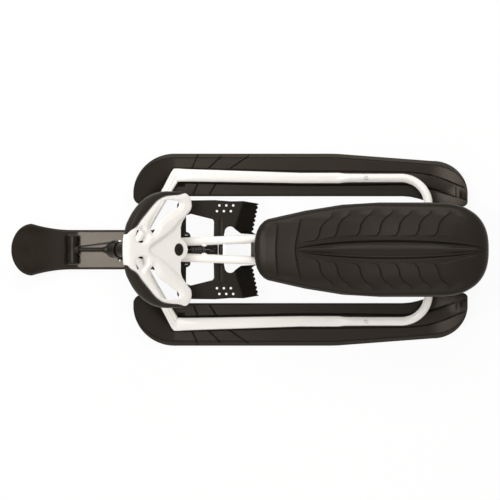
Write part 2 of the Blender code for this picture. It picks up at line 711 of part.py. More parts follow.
def cushion_ring(x, sunk, slant):
    """The cushion's section. Points outside the valley slant back, so steps run as chevrons."""
    base = PAN_BASE_Z + PAN_TALL + GAP
    half = seat_half(x)
    crown = CUSHION_FRONT_Z + CUSHION_LIFT * ease((x - 0.24) / 0.28)
    ends = squared((x - SEAT_FRONT_X) / 0.030) * squared((SEAT_BACK_X - x) / 0.050)
    top = base + (crown - base) * (0.35 + 0.65 * ends)
    middle = (x - VALLEY_FRONT_X) / (VALLEY_BACK_X - VALLEY_FRONT_X)
    lens = math.sin(math.pi * min(1.0, max(0.0, middle))) ** VALLEY_FULLNESS
    dip = VALLEY_DEPTH * lens
    v = (VALLEY_HALF * max(lens, 0.25)) * min(1.0, half / 0.05)
    tall = top - base
    section = [(0.0, top - dip * 0.55), (v * 0.30, top - dip), (v * 0.70, top - dip * 0.8),
               (v, top), (v + (half - v) * 0.30, top - tall * 0.02 - sunk),
               (v + (half - v) * 0.62, top - tall * 0.07 - sunk),
               (half * 0.90, top - tall * 0.20 - sunk * 0.5), (half * 0.975, top - tall * 0.42),
               (half, top - tall * 0.62), (half * 0.985, base + tall * 0.10), (half * 0.96, base),
               (0.0, base)]
    placed = []
    for y, z in section:
        back = slant * max(0.0, y - VALLEY_HALF) if z > base + tall * 0.5 else 0.0
        placed.append((back, y, z))
    return mirrored_ring(x, placed)


def seat_cushion():
    rings = []
    for x in spread(SEAT_FRONT_X + 0.0012, SEAT_FRONT_X + SEAT_NOSE, 6, crowd_start=True):
        rings.append(cushion_ring(x, 0.0, 0.0))
    steps = list(NOSE_STEPS) + [TREAD_FRONT_X + i * TREAD_PITCH for i in range(TREAD_COUNT)]
    for i, x in enumerate(steps):
        slant = TREAD_SLANT * min(1.0, (i + 1) / 4)
        rings.append(cushion_ring(x, 0.0, slant))
        rings.append(cushion_ring(x + TREAD_DROP, TREAD_DEPTH, slant))
    last = steps[-1] + TREAD_DROP
    for x in spread(last, SEAT_BACK_X - 0.0012, 9, crowd_end=True)[1:]:
        slant = TREAD_SLANT * (1 - ease((x - last) / (SEAT_BACK_X - 0.020 - last)))
        rings.append(cushion_ring(x, 0.0, slant * 0.8))
    return loft("seat_cushion", rings, SEAT_FOAM)


seat_cushion()


def turned(name, profile, finish, matrix=Matrix(), parent=None, steps=24):
    """Spins a profile of (radius, height) points, from its top on the axis to its bottom."""
    bm = bmesh.new()
    line = [bm.verts.new((r, 0.0, z)) for r, z in profile]
    edges = [bm.edges.new(pair) for pair in zip(line, line[1:])]
    bmesh.ops.spin(bm, geom=line + edges, cent=(0, 0, 0), axis=(0, 0, 1),
                   angle=2 * math.pi, steps=steps, use_merge=True)
    bmesh.ops.remove_doubles(bm, verts=bm.verts, dist=1e-6)
    bmesh.ops.transform(bm, matrix=matrix, verts=bm.verts)
    return from_bmesh(name, bm, finish, parent)


def bolt(name, seat, direction, length, parent=None, shank=BOLT_R, head_r=BOLT_HEAD_R,
         head=BOLT_HEAD, steps=8):
    """A button-head bolt with its head seated at a point and its shank along a direction."""
    profile = [(0.0, -head), (head_r * 0.55, -head), (head_r * 0.9, -head * 0.6), (head_r, 0.0),
               (shank, 0.0), (shank, length), (0.0, length)]
    return turned(name, profile, BRIGHT_STEEL, aim(seat, direction), parent, steps)


def nut(name, seat, direction, bore, size=NUT_R, tall=NUT, parent=None):
    """A hexagon nut that grows from its seat along a direction."""
    bm = bmesh.new()
    verts = drum(bm, size, 0.0, tall, 6)
    bmesh.ops.transform(bm, matrix=aim(seat, direction), verts=verts)
    piece = from_bmesh(name, bm, BRIGHT_STEEL, parent)
    start = Vector(seat) - Vector(direction) * tall
    return drill(piece, start, direction, 3 * tall, bore, 12)


# Frame and seat fasteners
UP = Vector((0, 0, 1))
DOWN = Vector((0, 0, -1))
front_bolt_x, back_bolt_x = REAR_SKI_BOLTS
rail_bottom = SEAT_RAIL_Z - RAIL_R
for side, hand in HANDS:
    bolt("ski_bolt_front_" + hand,
         (front_bolt_x, side * bar_y(front_bolt_x), SPINE_CEILING - GAP), UP, 0.0120)
    bolt("ski_bolt_rear_" + hand, (back_bolt_x, side * BAR_Y, BAR_BOTTOM + 2 * HOOP_R + GAP),
         DOWN, 2 * HOOP_R + SKI_WALL + NUT + 0.0020)
    nut("ski_nut_" + hand, (back_bolt_x, side * BAR_Y, SPINE_CEILING - GAP), DOWN,
        BOLT_R + BOLT_PLAY)
    bolt("rail_bolt_" + hand,
         (RAIL_BOLT_X, side * rail_y(RAIL_BOLT_X), HOOP_TOP_Z - HOOP_R - GAP), UP,
         2 * HOOP_R + 2 * RAIL_R + GAP)
    for x, row in zip(SEAT_BOLTS_X, ("front", "back")):
        bolt(f"seat_bolt_{row}_{hand}", (x, side * rail_y(x), rail_bottom - GAP), UP,
             2 * RAIL_R + SEAT_BOLT_DEPTH - 0.0005)


# Steering. In the column's frame the hub is at 0, the rim points to -X and the ski is below.
def flat(name, outline, holes, low, high, finish, parent, round_edge=0.0, segments=2):
    """A plate in the column's cross plane between two heights, from a filled 2D curve."""
    curve = bpy.data.curves.new(name, "CURVE")
    curve.dimensions = "2D"
    curve.fill_mode = "BOTH"
    curve.extrude = (high - low) / 2
    for loop in [outline] + holes:
        spline = curve.splines.new("POLY")
        spline.points.add(len(loop) - 1)
        for spot, (x, y) in zip(spline.points, loop):
            spot.co = (x, y, 0.0, 1.0)
        spline.use_cyclic_u = True
    guide = bpy.data.objects.new(name + "_guide", curve)
    sled.objects.link(guide)
    graph = bpy.context.evaluated_depsgraph_get()
    mesh = bpy.data.meshes.new_from_object(guide.evaluated_get(graph))
    bpy.data.objects.remove(guide, do_unlink=True)
    bm = bmesh.new()
    bm.from_mesh(mesh)
    bmesh.ops.remove_doubles(bm, verts=bm.verts, dist=1e-6)
    if round_edge:
        bmesh.ops.dissolve_limit(bm, angle_limit=0.01, verts=bm.verts, edges=bm.edges)
        rim = [e for e in bm.edges if abs(e.verts[0].co.z - e.verts[1].co.z) < 1e-6
               and len(e.link_faces) == 2 and e.calc_face_angle(0.0) > 1.0]
        bmesh.ops.bevel(bm, geom=rim, offset=round_edge, segments=segments, profile=0.5,
                        affect="EDGES", material=-1, clamp_overlap=True)
    bmesh.ops.translate(bm, vec=(0, 0, (low + high) / 2), verts=bm.verts)
    return from_bmesh(name, bm, finish, parent)


def both_sides(half):
    """Closes an outline given for +Y by its mirror image, in the column's frame."""
    right = [(-u, v) for u, v in half]
    return right + [(x, -y) for x, y in reversed(right) if y > 1e-6]


def grown(loop, by):
    """Moves an outline outwards by a distance, or inwards if it is negative."""
    area = sum(a[0] * b[1] - b[0] * a[1] for a, b in zip(loop, loop[1:] + loop[:1]))
    sign = 1 if area > 0 else -1
    moved = []
    for before, here, after in zip(loop[-1:] + loop[:-1], loop, loop[1:] + loop[:1]):
        one = (Vector(here) - Vector(before)).normalized()
        two = (Vector(after) - Vector(here)).normalized()
        normal = Vector((one.y + two.y, -one.x - two.x)) * sign
        normal /= max(0.6, normal.length_squared / 2)
        moved.append(tuple(Vector(here) + normal * by))
    return moved


WHEEL_R = 0.1401
WHEEL_CENTRE = 0.0361                    # the round rim's centre, ahead of the hub
WHEEL_TOP = 0.0070
HUB_FACE = 0.0005                        # the sunk field between the arms
WHEEL_SPLIT = -0.0040
WHEEL_BOTTOM = -0.0140
GRIP_TALL = 0.0260
GRIP_MIDDLE = -0.0040
CAP_R = 0.0150

# Half outlines as (ahead of the hub, out to one side)
SHELL_NOSE = [(0.1749, 0.0), (0.1740, 0.0226), (0.1717, 0.0363)]
SHELL_RIM = [(0.1599, 0.0460), (0.1412, 0.0553), (0.1251, 0.0723), (0.1090, 0.0866),
             (0.0954, 0.0995), (0.0763, 0.1156), (0.0571, 0.1249), (0.0294, 0.1298),
             (0.0015, 0.1321)]
SHELL_HORN = [(-0.0182, 0.1360), (-0.0296, 0.1308), (-0.0367, 0.1209), (-0.0395, 0.1079),
              (-0.0367, 0.0968), (-0.0239, 0.0866), (-0.0154, 0.0764), (-0.0055, 0.0643),
              (-0.0013, 0.0533), (0.0001, 0.0413), (-0.0019, 0.0273), (-0.0140, 0.0184),
              (-0.0205, 0.0094), (-0.0225, 0.0)]
BIG_WINDOW = [(0.0612, 0.1149), (0.0085, 0.1160), (0.0048, 0.1091), (0.0085, 0.1020),
              (0.0211, 0.0928), (0.0433, 0.0806), (0.0612, 0.0705), (0.0708, 0.0625),
              (0.0785, 0.0506), (0.0886, 0.0393), (0.0957, 0.0475), (0.0962, 0.0603),
              (0.0900, 0.0760), (0.0763, 0.0959)]
SMALL_WINDOW = [(0.1399, 0.0470), (0.1260, 0.0540), (0.1165, 0.0444), (0.1063, 0.0376),
                (0.1049, 0.0268), (0.1103, 0.0190), (0.1238, 0.0156), (0.1386, 0.0185),
                (0.1479, 0.0247), (0.1461, 0.0354)]
HUB_FIELD = [(0.0970, 0.0), (0.0615, 0.0211), (0.0227, 0.0440), (-0.0020, 0.0640),
             (-0.0400, 0.0700), (-0.0400, 0.0)]


def rim_arc(start, end, count):
    """Points on the round rim, by degrees from straight ahead."""
    angles = [math.radians(start + (end - start) * i / count) for i in range(count + 1)]
    return [(WHEEL_CENTRE + WHEEL_R * math.cos(a), WHEEL_R * math.sin(a)) for a in angles]


def on_side(points, side):
    return [(-u, side * v) for u, v in points]


wheel_loop = both_sides(SHELL_NOSE + SHELL_RIM + SHELL_HORN)
wheel_windows = [on_side(w, s) for w in (BIG_WINDOW, SMALL_WINDOW) for s in (1, -1)]
shell = flat("wheel_shell", wheel_loop, wheel_windows, WHEEL_SPLIT + GAP, WHEEL_TOP,
             WHITE_PLASTIC, steering_axis, 0.0030)
boolean(shell, flat("field", both_sides(HUB_FIELD), [], HUB_FACE, WHEEL_TOP + 0.010,
                    WHITE_PLASTIC, steering_axis))
SEAM = 0.0015
back = flat("wheel_back", grown(wheel_loop, -SEAM), [grown(w, SEAM) for w in wheel_windows],
            WHEEL_BOTTOM, WHEEL_SPLIT, WHITE_PLASTIC, steering_axis, 0.0030, 1)
BOSS_BOTTOM = -0.0560
boss = turned("boss", [(0.0, WHEEL_SPLIT - 0.004), (0.0240, WHEEL_SPLIT - 0.004),
                       (0.0235, WHEEL_BOTTOM - 0.004), (0.0180, -0.0350),
                       (0.0165, BOSS_BOTTOM), (0.0, BOSS_BOTTOM)], WHITE_PLASTIC,
              parent=steering_axis)
boolean(back, boss, "UNION")


def sink(piece, radius, low, high, segments=20):
    """Cuts a round pocket or bore on the column's axis between two heights."""
    bm = bmesh.new()
    drum(bm, radius, low, high, segments)
    return boolean(piece, from_bmesh("pocket", bm, BRIGHT_STEEL, steering_axis))


COLUMN_TOP = -0.0130
WHEEL_BOLT_R = 0.0040
WHEEL_BOLT_HEAD_R = 0.0070
WHEEL_BOLT_HEAD = 0.0050
WHEEL_BOLT_PLAY = 0.0010
WHEEL_BOLT_SEAT = -0.0082
WHEEL_BOLT_LENGTH = 0.030
CAP_SEAT = HUB_FACE - 0.0025
sink(back, COLUMN_R + GAP, BOSS_BOTTOM - 0.010, COLUMN_TOP + GAP)
sink(back, WHEEL_BOLT_R + GAP, COLUMN_TOP - 0.001, WHEEL_SPLIT + 0.001)
sink(back, WHEEL_BOLT_HEAD_R + WHEEL_BOLT_PLAY, WHEEL_BOLT_SEAT, WHEEL_SPLIT + 0.001)
sink(shell, CAP_R + GAP, CAP_SEAT, WHEEL_TOP + 0.010)
sink(shell, WHEEL_BOLT_HEAD_R + WHEEL_BOLT_PLAY, WHEEL_SPLIT - 0.001, CAP_SEAT + 0.001)
turned("hub_cap", [(0.0, HUB_FACE + 0.0024), (0.0070, HUB_FACE + 0.0021),
                   (CAP_R * 0.9, HUB_FACE + 0.0012), (CAP_R, HUB_FACE - 0.0002),
                   (CAP_R, CAP_SEAT + GAP), (0.0, CAP_SEAT + GAP)], BLACK_PLASTIC,
       parent=steering_axis, steps=20)
bolt("wheel_bolt", (0, 0, WHEEL_BOLT_SEAT + GAP), DOWN, WHEEL_BOLT_LENGTH, steering_axis,
     WHEEL_BOLT_R, WHEEL_BOLT_HEAD_R, WHEEL_BOLT_HEAD)

GRIP_TAIL = [(-0.0122, 0.1400), (-0.0200, 0.1385), (-0.0182, 0.1360)]
for side, hand in HANDS:
    crescent = rim_arc(16.5, 90.0, 14) + GRIP_TAIL + SHELL_RIM[::-1] + [SHELL_NOSE[-1]]
    flat("grip_" + hand, grown(on_side(crescent, side), -GAP / 2), [],
         GRIP_MIDDLE - GRIP_TALL / 2, GRIP_MIDDLE + GRIP_TALL / 2, GRIP_RUBBER, steering_axis,
         0.0075, 3)

# Column, collar and foot
REEL_TOP = -0.2110
REEL_BOTTOM = -0.2380
COLUMN_BOTTOM = REEL_BOTTOM - GAP
column = rod("steering_column", (0, 0, COLUMN_BOTTOM), UP, COLUMN_TOP - COLUMN_BOTTOM, COLUMN_R,
             BRIGHT_STEEL, steering_axis)
sink(column, WHEEL_BOLT_R + GAP, COLUMN_TOP - WHEEL_BOLT_LENGTH, COLUMN_TOP + 0.010)
COLLAR_LOW = GAP - HEAD_TOP + BUSH_LIP + GAP


def ringed(name, section, finish, parent, steps=20):
    """Spins a closed section of (radius, height) points that stays clear of the axis."""
    bm = bmesh.new()
    loop = [bm.verts.new((r, 0.0, z)) for r, z in section]
    edges = [bm.edges.new(pair) for pair in zip(loop, loop[1:] + loop[:1])]
    bmesh.ops.spin(bm, geom=loop + edges, cent=(0, 0, 0), axis=(0, 0, 1),
                   angle=2 * math.pi, steps=steps, use_merge=True)
    bmesh.ops.remove_doubles(bm, verts=bm.verts, dist=1e-6)
    return from_bmesh(name, bm, finish, parent)


def square_ring(name, inner, outer, low, high, finish, parent, steps=20):
    section = [(inner, low), (outer, low), (outer, high), (inner, high)]
    return ringed(name, section, finish, parent, steps)


square_ring("column_collar", COLUMN_R + GAP, HEAD_R, COLLAR_LOW, COLLAR_LOW + 0.009,
            BLACK_STEEL, steering_axis)
FOOT_HALF = SKI_EAR_Y - 0.0006
FOOT_TALL = 0.0115
FOOT_TOE = 0.0080
eye = steering_axis.matrix_world.inverted() @ Vector((SKI_PIN_X, 0.0, SKI_PIN_Z))
bm = bmesh.new()
bmesh.ops.create_cube(bm, size=1.0)
bmesh.ops.scale(bm, vec=(eye.x + FOOT_TOE, 2 * FOOT_HALF, FOOT_TALL), verts=bm.verts)
foot_low = COLUMN_BOTTOM - GAP - FOOT_TALL / 2
bmesh.ops.translate(bm, vec=((eye.x - FOOT_TOE) / 2, 0, foot_low), verts=bm.verts)
corner_edges = [e for e in bm.edges if abs(e.verts[0].co.z - e.verts[1].co.z) > 0.001]
bmesh.ops.bevel(bm, geom=corner_edges, offset=0.006, segments=3, profile=0.5, affect="EDGES")
foot = from_bmesh("column_foot", bm, BLACK_STEEL, steering_axis)
boolean(foot, rod("eye", (eye.x, -FOOT_HALF + 0.0002, eye.z), (0, 1, 0), 2 * FOOT_HALF - 0.0004,
                  SKI_EAR_R, BLACK_STEEL, steering_axis), "UNION")
drill(foot, (eye.x, -DRILL_REACH, eye.z), (0, 1, 0), 2 * DRILL_REACH, SKI_PIN_R + GAP)
EAR_OUT = SKI_EAR_Y + SKI_EAR_THICK
bolt("ski_pin", (SKI_PIN_X, EAR_OUT + GAP, SKI_PIN_Z), (0, -1, 0), 2 * EAR_OUT + NUT + 0.004,
     shank=SKI_PIN_R, head_r=0.0070, head=0.0040, steps=16)
nut("ski_pin_nut", (SKI_PIN_X, -EAR_OUT - GAP, SKI_PIN_Z), (0, -1, 0), SKI_PIN_R + BOLT_PLAY,
    0.0070, NUT)


# Rope reel below the head: a housing with the dock for the handle, a spring and a spool.
REEL_R = 0.0200
REEL_WALL = 0.0020
REEL_COVER = 0.0025
SPRING_TALL = 0.0070
SPOOL_FLANGE = 0.0012
SPOOL_CORE_R = 0.0126
ROPE_R = 0.0016
HANDLE_X = -0.4345
HANDLE_Z = 0.0480
HANDLE_R = 0.0130
HANDLE_HALF = 0.0375
HANDLE_BOSS_R = 0.0105
HANDLE_BOSS_X = HANDLE_X + HANDLE_R + 0.0012
ROPE_Y = 0.0078                          # beside the dock at the handle
DOCK_HALF = 0.0053
DOCK_SQUARE = 2.6
DOCK_PIN_R = 0.0034
DOCK_PIN = 0.0110
SPOUT_R = 0.0038
SPOUT = 0.0070

housing_top = REEL_TOP - REEL_COVER - GAP
housing = rod("reel_housing", (0, 0, REEL_BOTTOM), UP, housing_top - REEL_BOTTOM, REEL_R,
              BLACK_PLASTIC, steering_axis, 24)
drum_middle = down_column((-REEL_TOP - REEL_BOTTOM) / 2)
dock_tip_x = HANDLE_BOSS_X + GAP
dock_rings = []
for x, z, half_wide, half_tall in (
        (drum_middle.x - 0.004, drum_middle.z + 0.004, 0.0150, 0.0060),
        (-0.3535, 0.0645, 0.0080, 0.0050), (-0.3620, 0.0615, DOCK_HALF, 0.0045),
        (-0.4120, 0.0495, DOCK_HALF, 0.0038), (dock_tip_x, HANDLE_Z, 0.0050, 0.0038)):
    dock_rings.append(section_ring(Vector((x, 0, z)), Vector((0, 1, 0)), UP, 2 * half_wide,
                                   2 * half_tall, DOCK_SQUARE, 16))
boolean(housing, loft("dock", dock_rings, BLACK_PLASTIC), "UNION")
boolean(housing, rod("dock_pin", (dock_tip_x + 0.004, 0, HANDLE_Z), (-1, 0, 0),
                     0.004 + DOCK_PIN, DOCK_PIN_R, BLACK_PLASTIC, segments=12), "UNION")
rope_end = Vector((HANDLE_BOSS_X, ROPE_Y, HANDLE_Z))
spout_root = steering_axis.matrix_world @ Vector((-0.006, REEL_R - 0.0005, -0.2225))
rope_run = (rope_end - spout_root).normalized()
boolean(housing, rod("spout", spout_root, rope_run, SPOUT, SPOUT_R, BLACK_PLASTIC,
                     segments=14), "UNION")
sink(housing, REEL_R - REEL_WALL, REEL_BOTTOM + REEL_WALL, REEL_TOP, 24)
sink(housing, COLUMN_R + GAP, REEL_BOTTOM - 0.005, REEL_TOP)
spout_bore = rod("spout_bore", spout_root - rope_run * 0.006, rope_run, SPOUT + 0.012,
                 ROPE_R + GAP, BLACK_PLASTIC, segments=12)
boolean(housing, spout_bore)
square_ring("reel_cover", COLUMN_R + GAP, REEL_R, REEL_TOP - REEL_COVER, REEL_TOP,
            BLACK_PLASTIC, steering_axis, 24)

spring_low = REEL_BOTTOM + REEL_WALL + GAP
spring_inner = COLUMN_R + 0.0012
spring_outer = REEL_R - REEL_WALL - 0.0008
SPRING_TURNS = 2.5
SPRING_STRIP = 0.0006
strip = []
spring_steps = int(SPRING_TURNS * 14)
for i in range(spring_steps + 1):
    turn = Matrix.Rotation(2 * math.pi * SPRING_TURNS * i / spring_steps, 4, "Z")
    radius = spring_inner + (spring_outer - spring_inner) * i / spring_steps
    strip.append([turn @ Vector((radius + dr, 0, spring_low + dz))
                  for dr, dz in ((0, 0), (SPRING_STRIP, 0), (SPRING_STRIP, SPRING_TALL),
                                 (0, SPRING_TALL))])
loft("reel_spring", strip, BRIGHT_STEEL, steering_axis)

spool_low = spring_low + SPRING_TALL + 2 * GAP
spool_high = housing_top - 0.0006
spool_r = REEL_R - REEL_WALL - 0.0006
ringed("rope_reel", [(COLUMN_R + GAP, spool_low), (spool_r, spool_low),
                     (spool_r, spool_low + SPOOL_FLANGE), (SPOOL_CORE_R, spool_low + SPOOL_FLANGE),
                     (SPOOL_CORE_R, spool_high - SPOOL_FLANGE), (spool_r, spool_high - SPOOL_FLANGE),
                     (spool_r, spool_high), (COLUMN_R + GAP, spool_high)],
       BLACK_PLASTIC, reel_axis, 20)
square_ring("wound_rope", SPOOL_CORE_R + GAP, spool_r - 0.0008, spool_low + SPOOL_FLANGE + GAP,
            spool_high - SPOOL_FLANGE - GAP, ROPE_FIBRE, reel_axis, 20)


# Tow handle and the short strand of rope between it and the reel's spout
tow_axis = bpy.data.objects.new("tow_axis", None)
tow_axis.location = (HANDLE_X, 0, HANDLE_Z)
sled.objects.link(tow_axis)
bpy.context.view_layer.update()
grip_profile = [(0.0, HANDLE_HALF), (HANDLE_R * 0.72, HANDLE_HALF),
                (HANDLE_R * 0.94, HANDLE_HALF - 0.0025), (HANDLE_R, HANDLE_HALF - 0.0060),
                (HANDLE_R * 0.92, HANDLE_HALF * 0.35), (HANDLE_R * 0.92, -HANDLE_HALF * 0.35),
                (HANDLE_R, -HANDLE_HALF + 0.0060), (HANDLE_R * 0.94, -HANDLE_HALF + 0.0025),
                (HANDLE_R * 0.72, -HANDLE_HALF), (0.0, -HANDLE_HALF)]
handle = turned("tow_handle", grip_profile, BLACK_PLASTIC, aim((0, 0, 0), (0, 1, 0)), tow_axis, 16)
boss_x = HANDLE_BOSS_X - HANDLE_X
boss = turned("boss", [(0.0, boss_x), (HANDLE_BOSS_R, boss_x), (HANDLE_BOSS_R, boss_x - 0.003),
                       (HANDLE_R * 0.95, 0.002), (0.0, 0.002)], BLACK_PLASTIC,
              aim((0, 0, 0), (1, 0, 0)), tow_axis, 16)
boolean(handle, boss, "UNION")
drill(handle, (boss_x + 0.005, 0, 0), (-1, 0, 0), 0.005 + DOCK_PIN + 0.0010,
      DOCK_PIN_R + GAP, 12)
rope_stop = rod("rope_stop", rope_end - rope_run * 0.006, rope_run, 0.0105, ROPE_R + GAP,
                BLACK_PLASTIC, segments=12)
boolean(handle, rope_stop)
tube("tow_rope", [spout_root + rope_run * (SPOUT - 0.004), rope_end + rope_run * 0.0040],
     ROPE_R, ROPE_FIBRE, sides=2)


# Foot brake: a folded sheet that swings on a rod under the rails. Its heel claws bite the snow.
BRAKE_X = -0.1490
BRAKE_Z = 0.0980
ROD_R = 0.0040
ROD_HALF = 0.0400
ROD_CAP_R = 0.0062
ROD_CAP = 0.0050
PLATE = 0.0030
PLATE_TOP_Z = BRAKE_Z - ROD_R - 0.0030
PLATE_Y = 0.1225
CLAW_DROP = math.radians(36.0)
KNUCKLE_Y = 0.0330
KNUCKLE = 0.0040
KNUCKLE_R = 0.0080
HOLE_R = 0.0030
HOLE_PITCH = 0.0172
SERRATIONS = 7
SERRATION = 0.0040
BAR_FRONT_X = -0.0817
BAR_BACK_X = -0.0559

brake_axis = bpy.data.objects.new("brake_axis", None)
brake_axis.location = (BRAKE_X, 0, BRAKE_Z)
sled.objects.link(brake_axis)
bpy.context.view_layer.update()


def brake_local(points):
    return [(x - BRAKE_X, y) for x, y in points]


front_edge = [(-0.1630, 0.0), (-0.1630, 0.0600), (-0.1720, 0.0900), (-0.1720, 0.1120)]
outer_edge = [(-0.1650, PLATE_Y - 0.0005), (-0.0782, PLATE_Y + 0.0005), (-0.0400, 0.1200)]
FOLD_OUT = (-0.0070, 0.1205)
FOLD_IN = (-0.0200, 0.0610)
inner_edge = [(-0.0335, 0.0590), (-0.0500, 0.0570), (-0.0550, 0.0500), (BAR_BACK_X, 0.0400),
              (BAR_BACK_X, 0.0)]
half_plate = front_edge + outer_edge + [FOLD_OUT, FOLD_IN] + inner_edge
plate_loop = half_plate + [(x, -y) for x, y in reversed(half_plate) if y > 0]
foot_window = [(-0.1498, 0.0849), (-0.1378, 0.0887), (-0.0837, 0.0753), (-0.0807, 0.0700),
               (BAR_FRONT_X, 0.0120), (-0.1340, 0.0120), (-0.1340, 0.0400), (-0.1420, 0.0480),
               (-0.1498, 0.0500)]
plate_holes = []
for side in (1, -1):
    plate_holes.append([(x, side * y) for x, y in foot_window])
    for row, start_x in ((0.1097, -0.0673), (0.0955, -0.0733)):
        for i in range(3):
            centre_x = start_x + i * HOLE_PITCH
            corners = [math.radians(60 * j + 11 + 7 * i) for j in range(6)]
            plate_holes.append([(centre_x + HOLE_R * math.cos(a),
                                 side * (row + HOLE_R * math.sin(a))) for a in corners])
plate_low = PLATE_TOP_Z - PLATE - BRAKE_Z
plate = flat("brake_plate", brake_local(plate_loop), [brake_local(h) for h in plate_holes],
             plate_low, plate_low + PLATE, BLACK_STEEL, brake_axis)


def claw(side):
    """The heel flap: a serrated plate folded down from the slanted line behind the holes."""
    fold_out = Vector((FOLD_OUT[0], FOLD_OUT[1], 0))
    fold_in = Vector((FOLD_IN[0], FOLD_IN[1], 0))
    along = (fold_in - fold_out).normalized()
    hinge = fold_out.lerp(fold_in, 0.5)
    out = Vector((-along.y, along.x, 0))
    if out.x < 0:
        out = -out
    tip_out, tip_in = Vector((0.0296, 0.1150, 0)), Vector((0.0149, 0.0402, 0))
    stretch = 1 / math.cos(CLAW_DROP)

    def unfold(point):
        away = (point - hinge).dot(out)
        return point + out * away * (stretch - 1)

    outline = [fold_out, unfold(tip_out)]
    for i in range(SERRATIONS):
        for share, bite in ((0.35, 0.0), (0.5, SERRATION), (0.65, 0.0)):
            t = (i + share) / SERRATIONS
            outline.append(unfold(tip_out.lerp(tip_in, t)) - out * bite)
    outline += [unfold(tip_in), Vector((-0.0140, 0.0400, 0)), fold_in]
    outline = [point - hinge for point in outline]
    outline[0] -= out * 0.0010
    outline[-1] -= out * 0.0010
    piece = flat("claw", [(p.x, p.y) for p in outline], [], -PLATE, 0.0, BLACK_STEEL, None)
    drop = Matrix.Rotation(CLAW_DROP, 4, Vector((-out.y, out.x, 0)))
    place_at = Matrix.Translation((hinge.x, hinge.y, PLATE_TOP_Z - 0.0007))
    flip = Matrix.Diagonal((1, side, 1, 1))
    piece.data.transform(flip @ place_at @ drop)
    if side < 0:
        piece.data.flip_normals()
    return piece


for side in (1, -1):
    boolean(plate, claw(side), "UNION")
    knuckle = rod("knuckle", (0, side * KNUCKLE_Y - KNUCKLE / 2, 0), (0, 1, 0), KNUCKLE, KNUCKLE_R,
                  BLACK_STEEL, brake_axis, 20)
    boolean(plate, knuckle, "UNION")
drill(plate, (0, -ROD_HALF - DRILL_REACH, 0), (0, 1, 0), 2 * (ROD_HALF + DRILL_REACH),
      ROD_R + GAP)

rod("brake_rod", (BRAKE_X, -ROD_HALF, BRAKE_Z), (0, 1, 0), 2 * ROD_HALF, ROD_R, BRIGHT_STEEL)
for side, hand in HANDS:
    cap = rod("rod_cap_" + hand, (BRAKE_X, side * (ROD_HALF - 0.0030), BRAKE_Z), (0, side, 0),
              ROD_CAP, ROD_CAP_R, BLACK_PLASTIC)
    drill(cap, (BRAKE_X, 0, BRAKE_Z), (0, side, 0), ROD_HALF + GAP, ROD_R + GAP)


# The saddle that hangs the rod from the rails, and the tension spring that lifts the plate
SADDLE_HALF_X = 0.0180
SADDLE_HALF_Y = 0.0305
SADDLE_LOW = 0.0200
SADDLE_HIGH = 0.0330
SADDLE_SLOT_LOW = 0.0240
SADDLE_SLOT_HALF = 0.0076
CHEEK = 0.0030
CHEEK_OUT = 0.0300
CHEEK_R = 0.0065
SPRING_FRONT = Vector((-0.1430, 0.0, 0.1365))
ANCHOR_R = 0.0020
ANCHOR_GRIP = 0.0020
LUG_X = -0.0780
LUG_Z = 0.1240
LUG_HALF = 0.0015
LUG_R = 0.0060
LUG_HOLE_R = 0.0028
COIL_R = 0.0058
COIL_LENGTH = 0.0360
WIRE_R = 0.0008
COILS = 9
COIL_POINTS = 8
BRIDGE_X = -0.0545
BRIDGE_HALF = 0.0030
BRIDGE_TALL = 0.0060
STOP_HALF_Y = 0.0090
STOP_FRONT_X = -0.0650


def block(name, middle, size, finish, parent=None):
    """A box by its middle and its three lengths."""
    bm = bmesh.new()
    bmesh.ops.create_cube(bm, size=1.0)
    bmesh.ops.scale(bm, vec=size, verts=bm.verts)
    bmesh.ops.translate(bm, vec=middle, verts=bm.verts)
    return from_bmesh(name, bm, finish, parent)


def standing(name, outline, y_low, y_high, finish, parent=None):
    """A plate standing in the XZ plane between two places across the sled."""
    piece = flat(name, outline, [], y_low, y_high, finish, parent)
    piece.data.transform(Matrix(((1, 0, 0, 0), (0, 0, 1, 0), (0, 1, 0, 0), (0, 0, 0, 1))))
    piece.data.flip_normals()
    return piece


def arc(radius, start, end, count, centre=(0.0, 0.0)):
    """Points on an arc between two directions in degrees."""
    angles = [math.radians(start + (end - start) * i / count) for i in range(count + 1)]
    return [(centre[0] + radius * math.cos(a), centre[1] + radius * math.sin(a)) for a in angles]


def clear_of_rails(piece):
    """Cuts away what would be inside the sloping part of the two rails."""
    for side in (1, -1):
        corners = [Vector((x, side * rail_y(x), z)) for x, z in
                   ((RAIL_FRONT.x, RAIL_FRONT.z), (RAIL_BEND_X, SEAT_RAIL_Z))]
        boolean(piece, tube("rail_cut", corners, RAIL_R + GAP, WHITE_PAINT))


saddle_tall = SADDLE_HIGH - SADDLE_LOW
saddle = block("brake_bracket", (BRAKE_X, 0, BRAKE_Z + SADDLE_LOW + saddle_tall / 2),
               (2 * SADDLE_HALF_X, 2 * SADDLE_HALF_Y, saddle_tall), BLACK_STEEL)
cheek_outline = [(BRAKE_X + SADDLE_HALF_X - 0.002, BRAKE_Z + SADDLE_LOW + 0.003),
                 (BRAKE_X - SADDLE_HALF_X + 0.002, BRAKE_Z + SADDLE_LOW + 0.003)]
cheek_outline += arc(CHEEK_R, 180, 360, 8, (BRAKE_X, BRAKE_Z))
for side in (1, -1):
    edges = sorted((side * CHEEK_OUT, side * (CHEEK_OUT - CHEEK)))
    boolean(saddle, standing("cheek", cheek_outline, edges[0], edges[1], BLACK_STEEL), "UNION")
clear_of_rails(saddle)
drill(saddle, (BRAKE_X, -ROD_HALF - DRILL_REACH, BRAKE_Z), (0, 1, 0),
      2 * (ROD_HALF + DRILL_REACH), ROD_R + GAP, 16)
boolean(saddle, block("slot", (BRAKE_X, 0, BRAKE_Z + SADDLE_SLOT_LOW + 0.030),
                      (0.080, 2 * SADDLE_SLOT_HALF, 0.060), BLACK_STEEL))

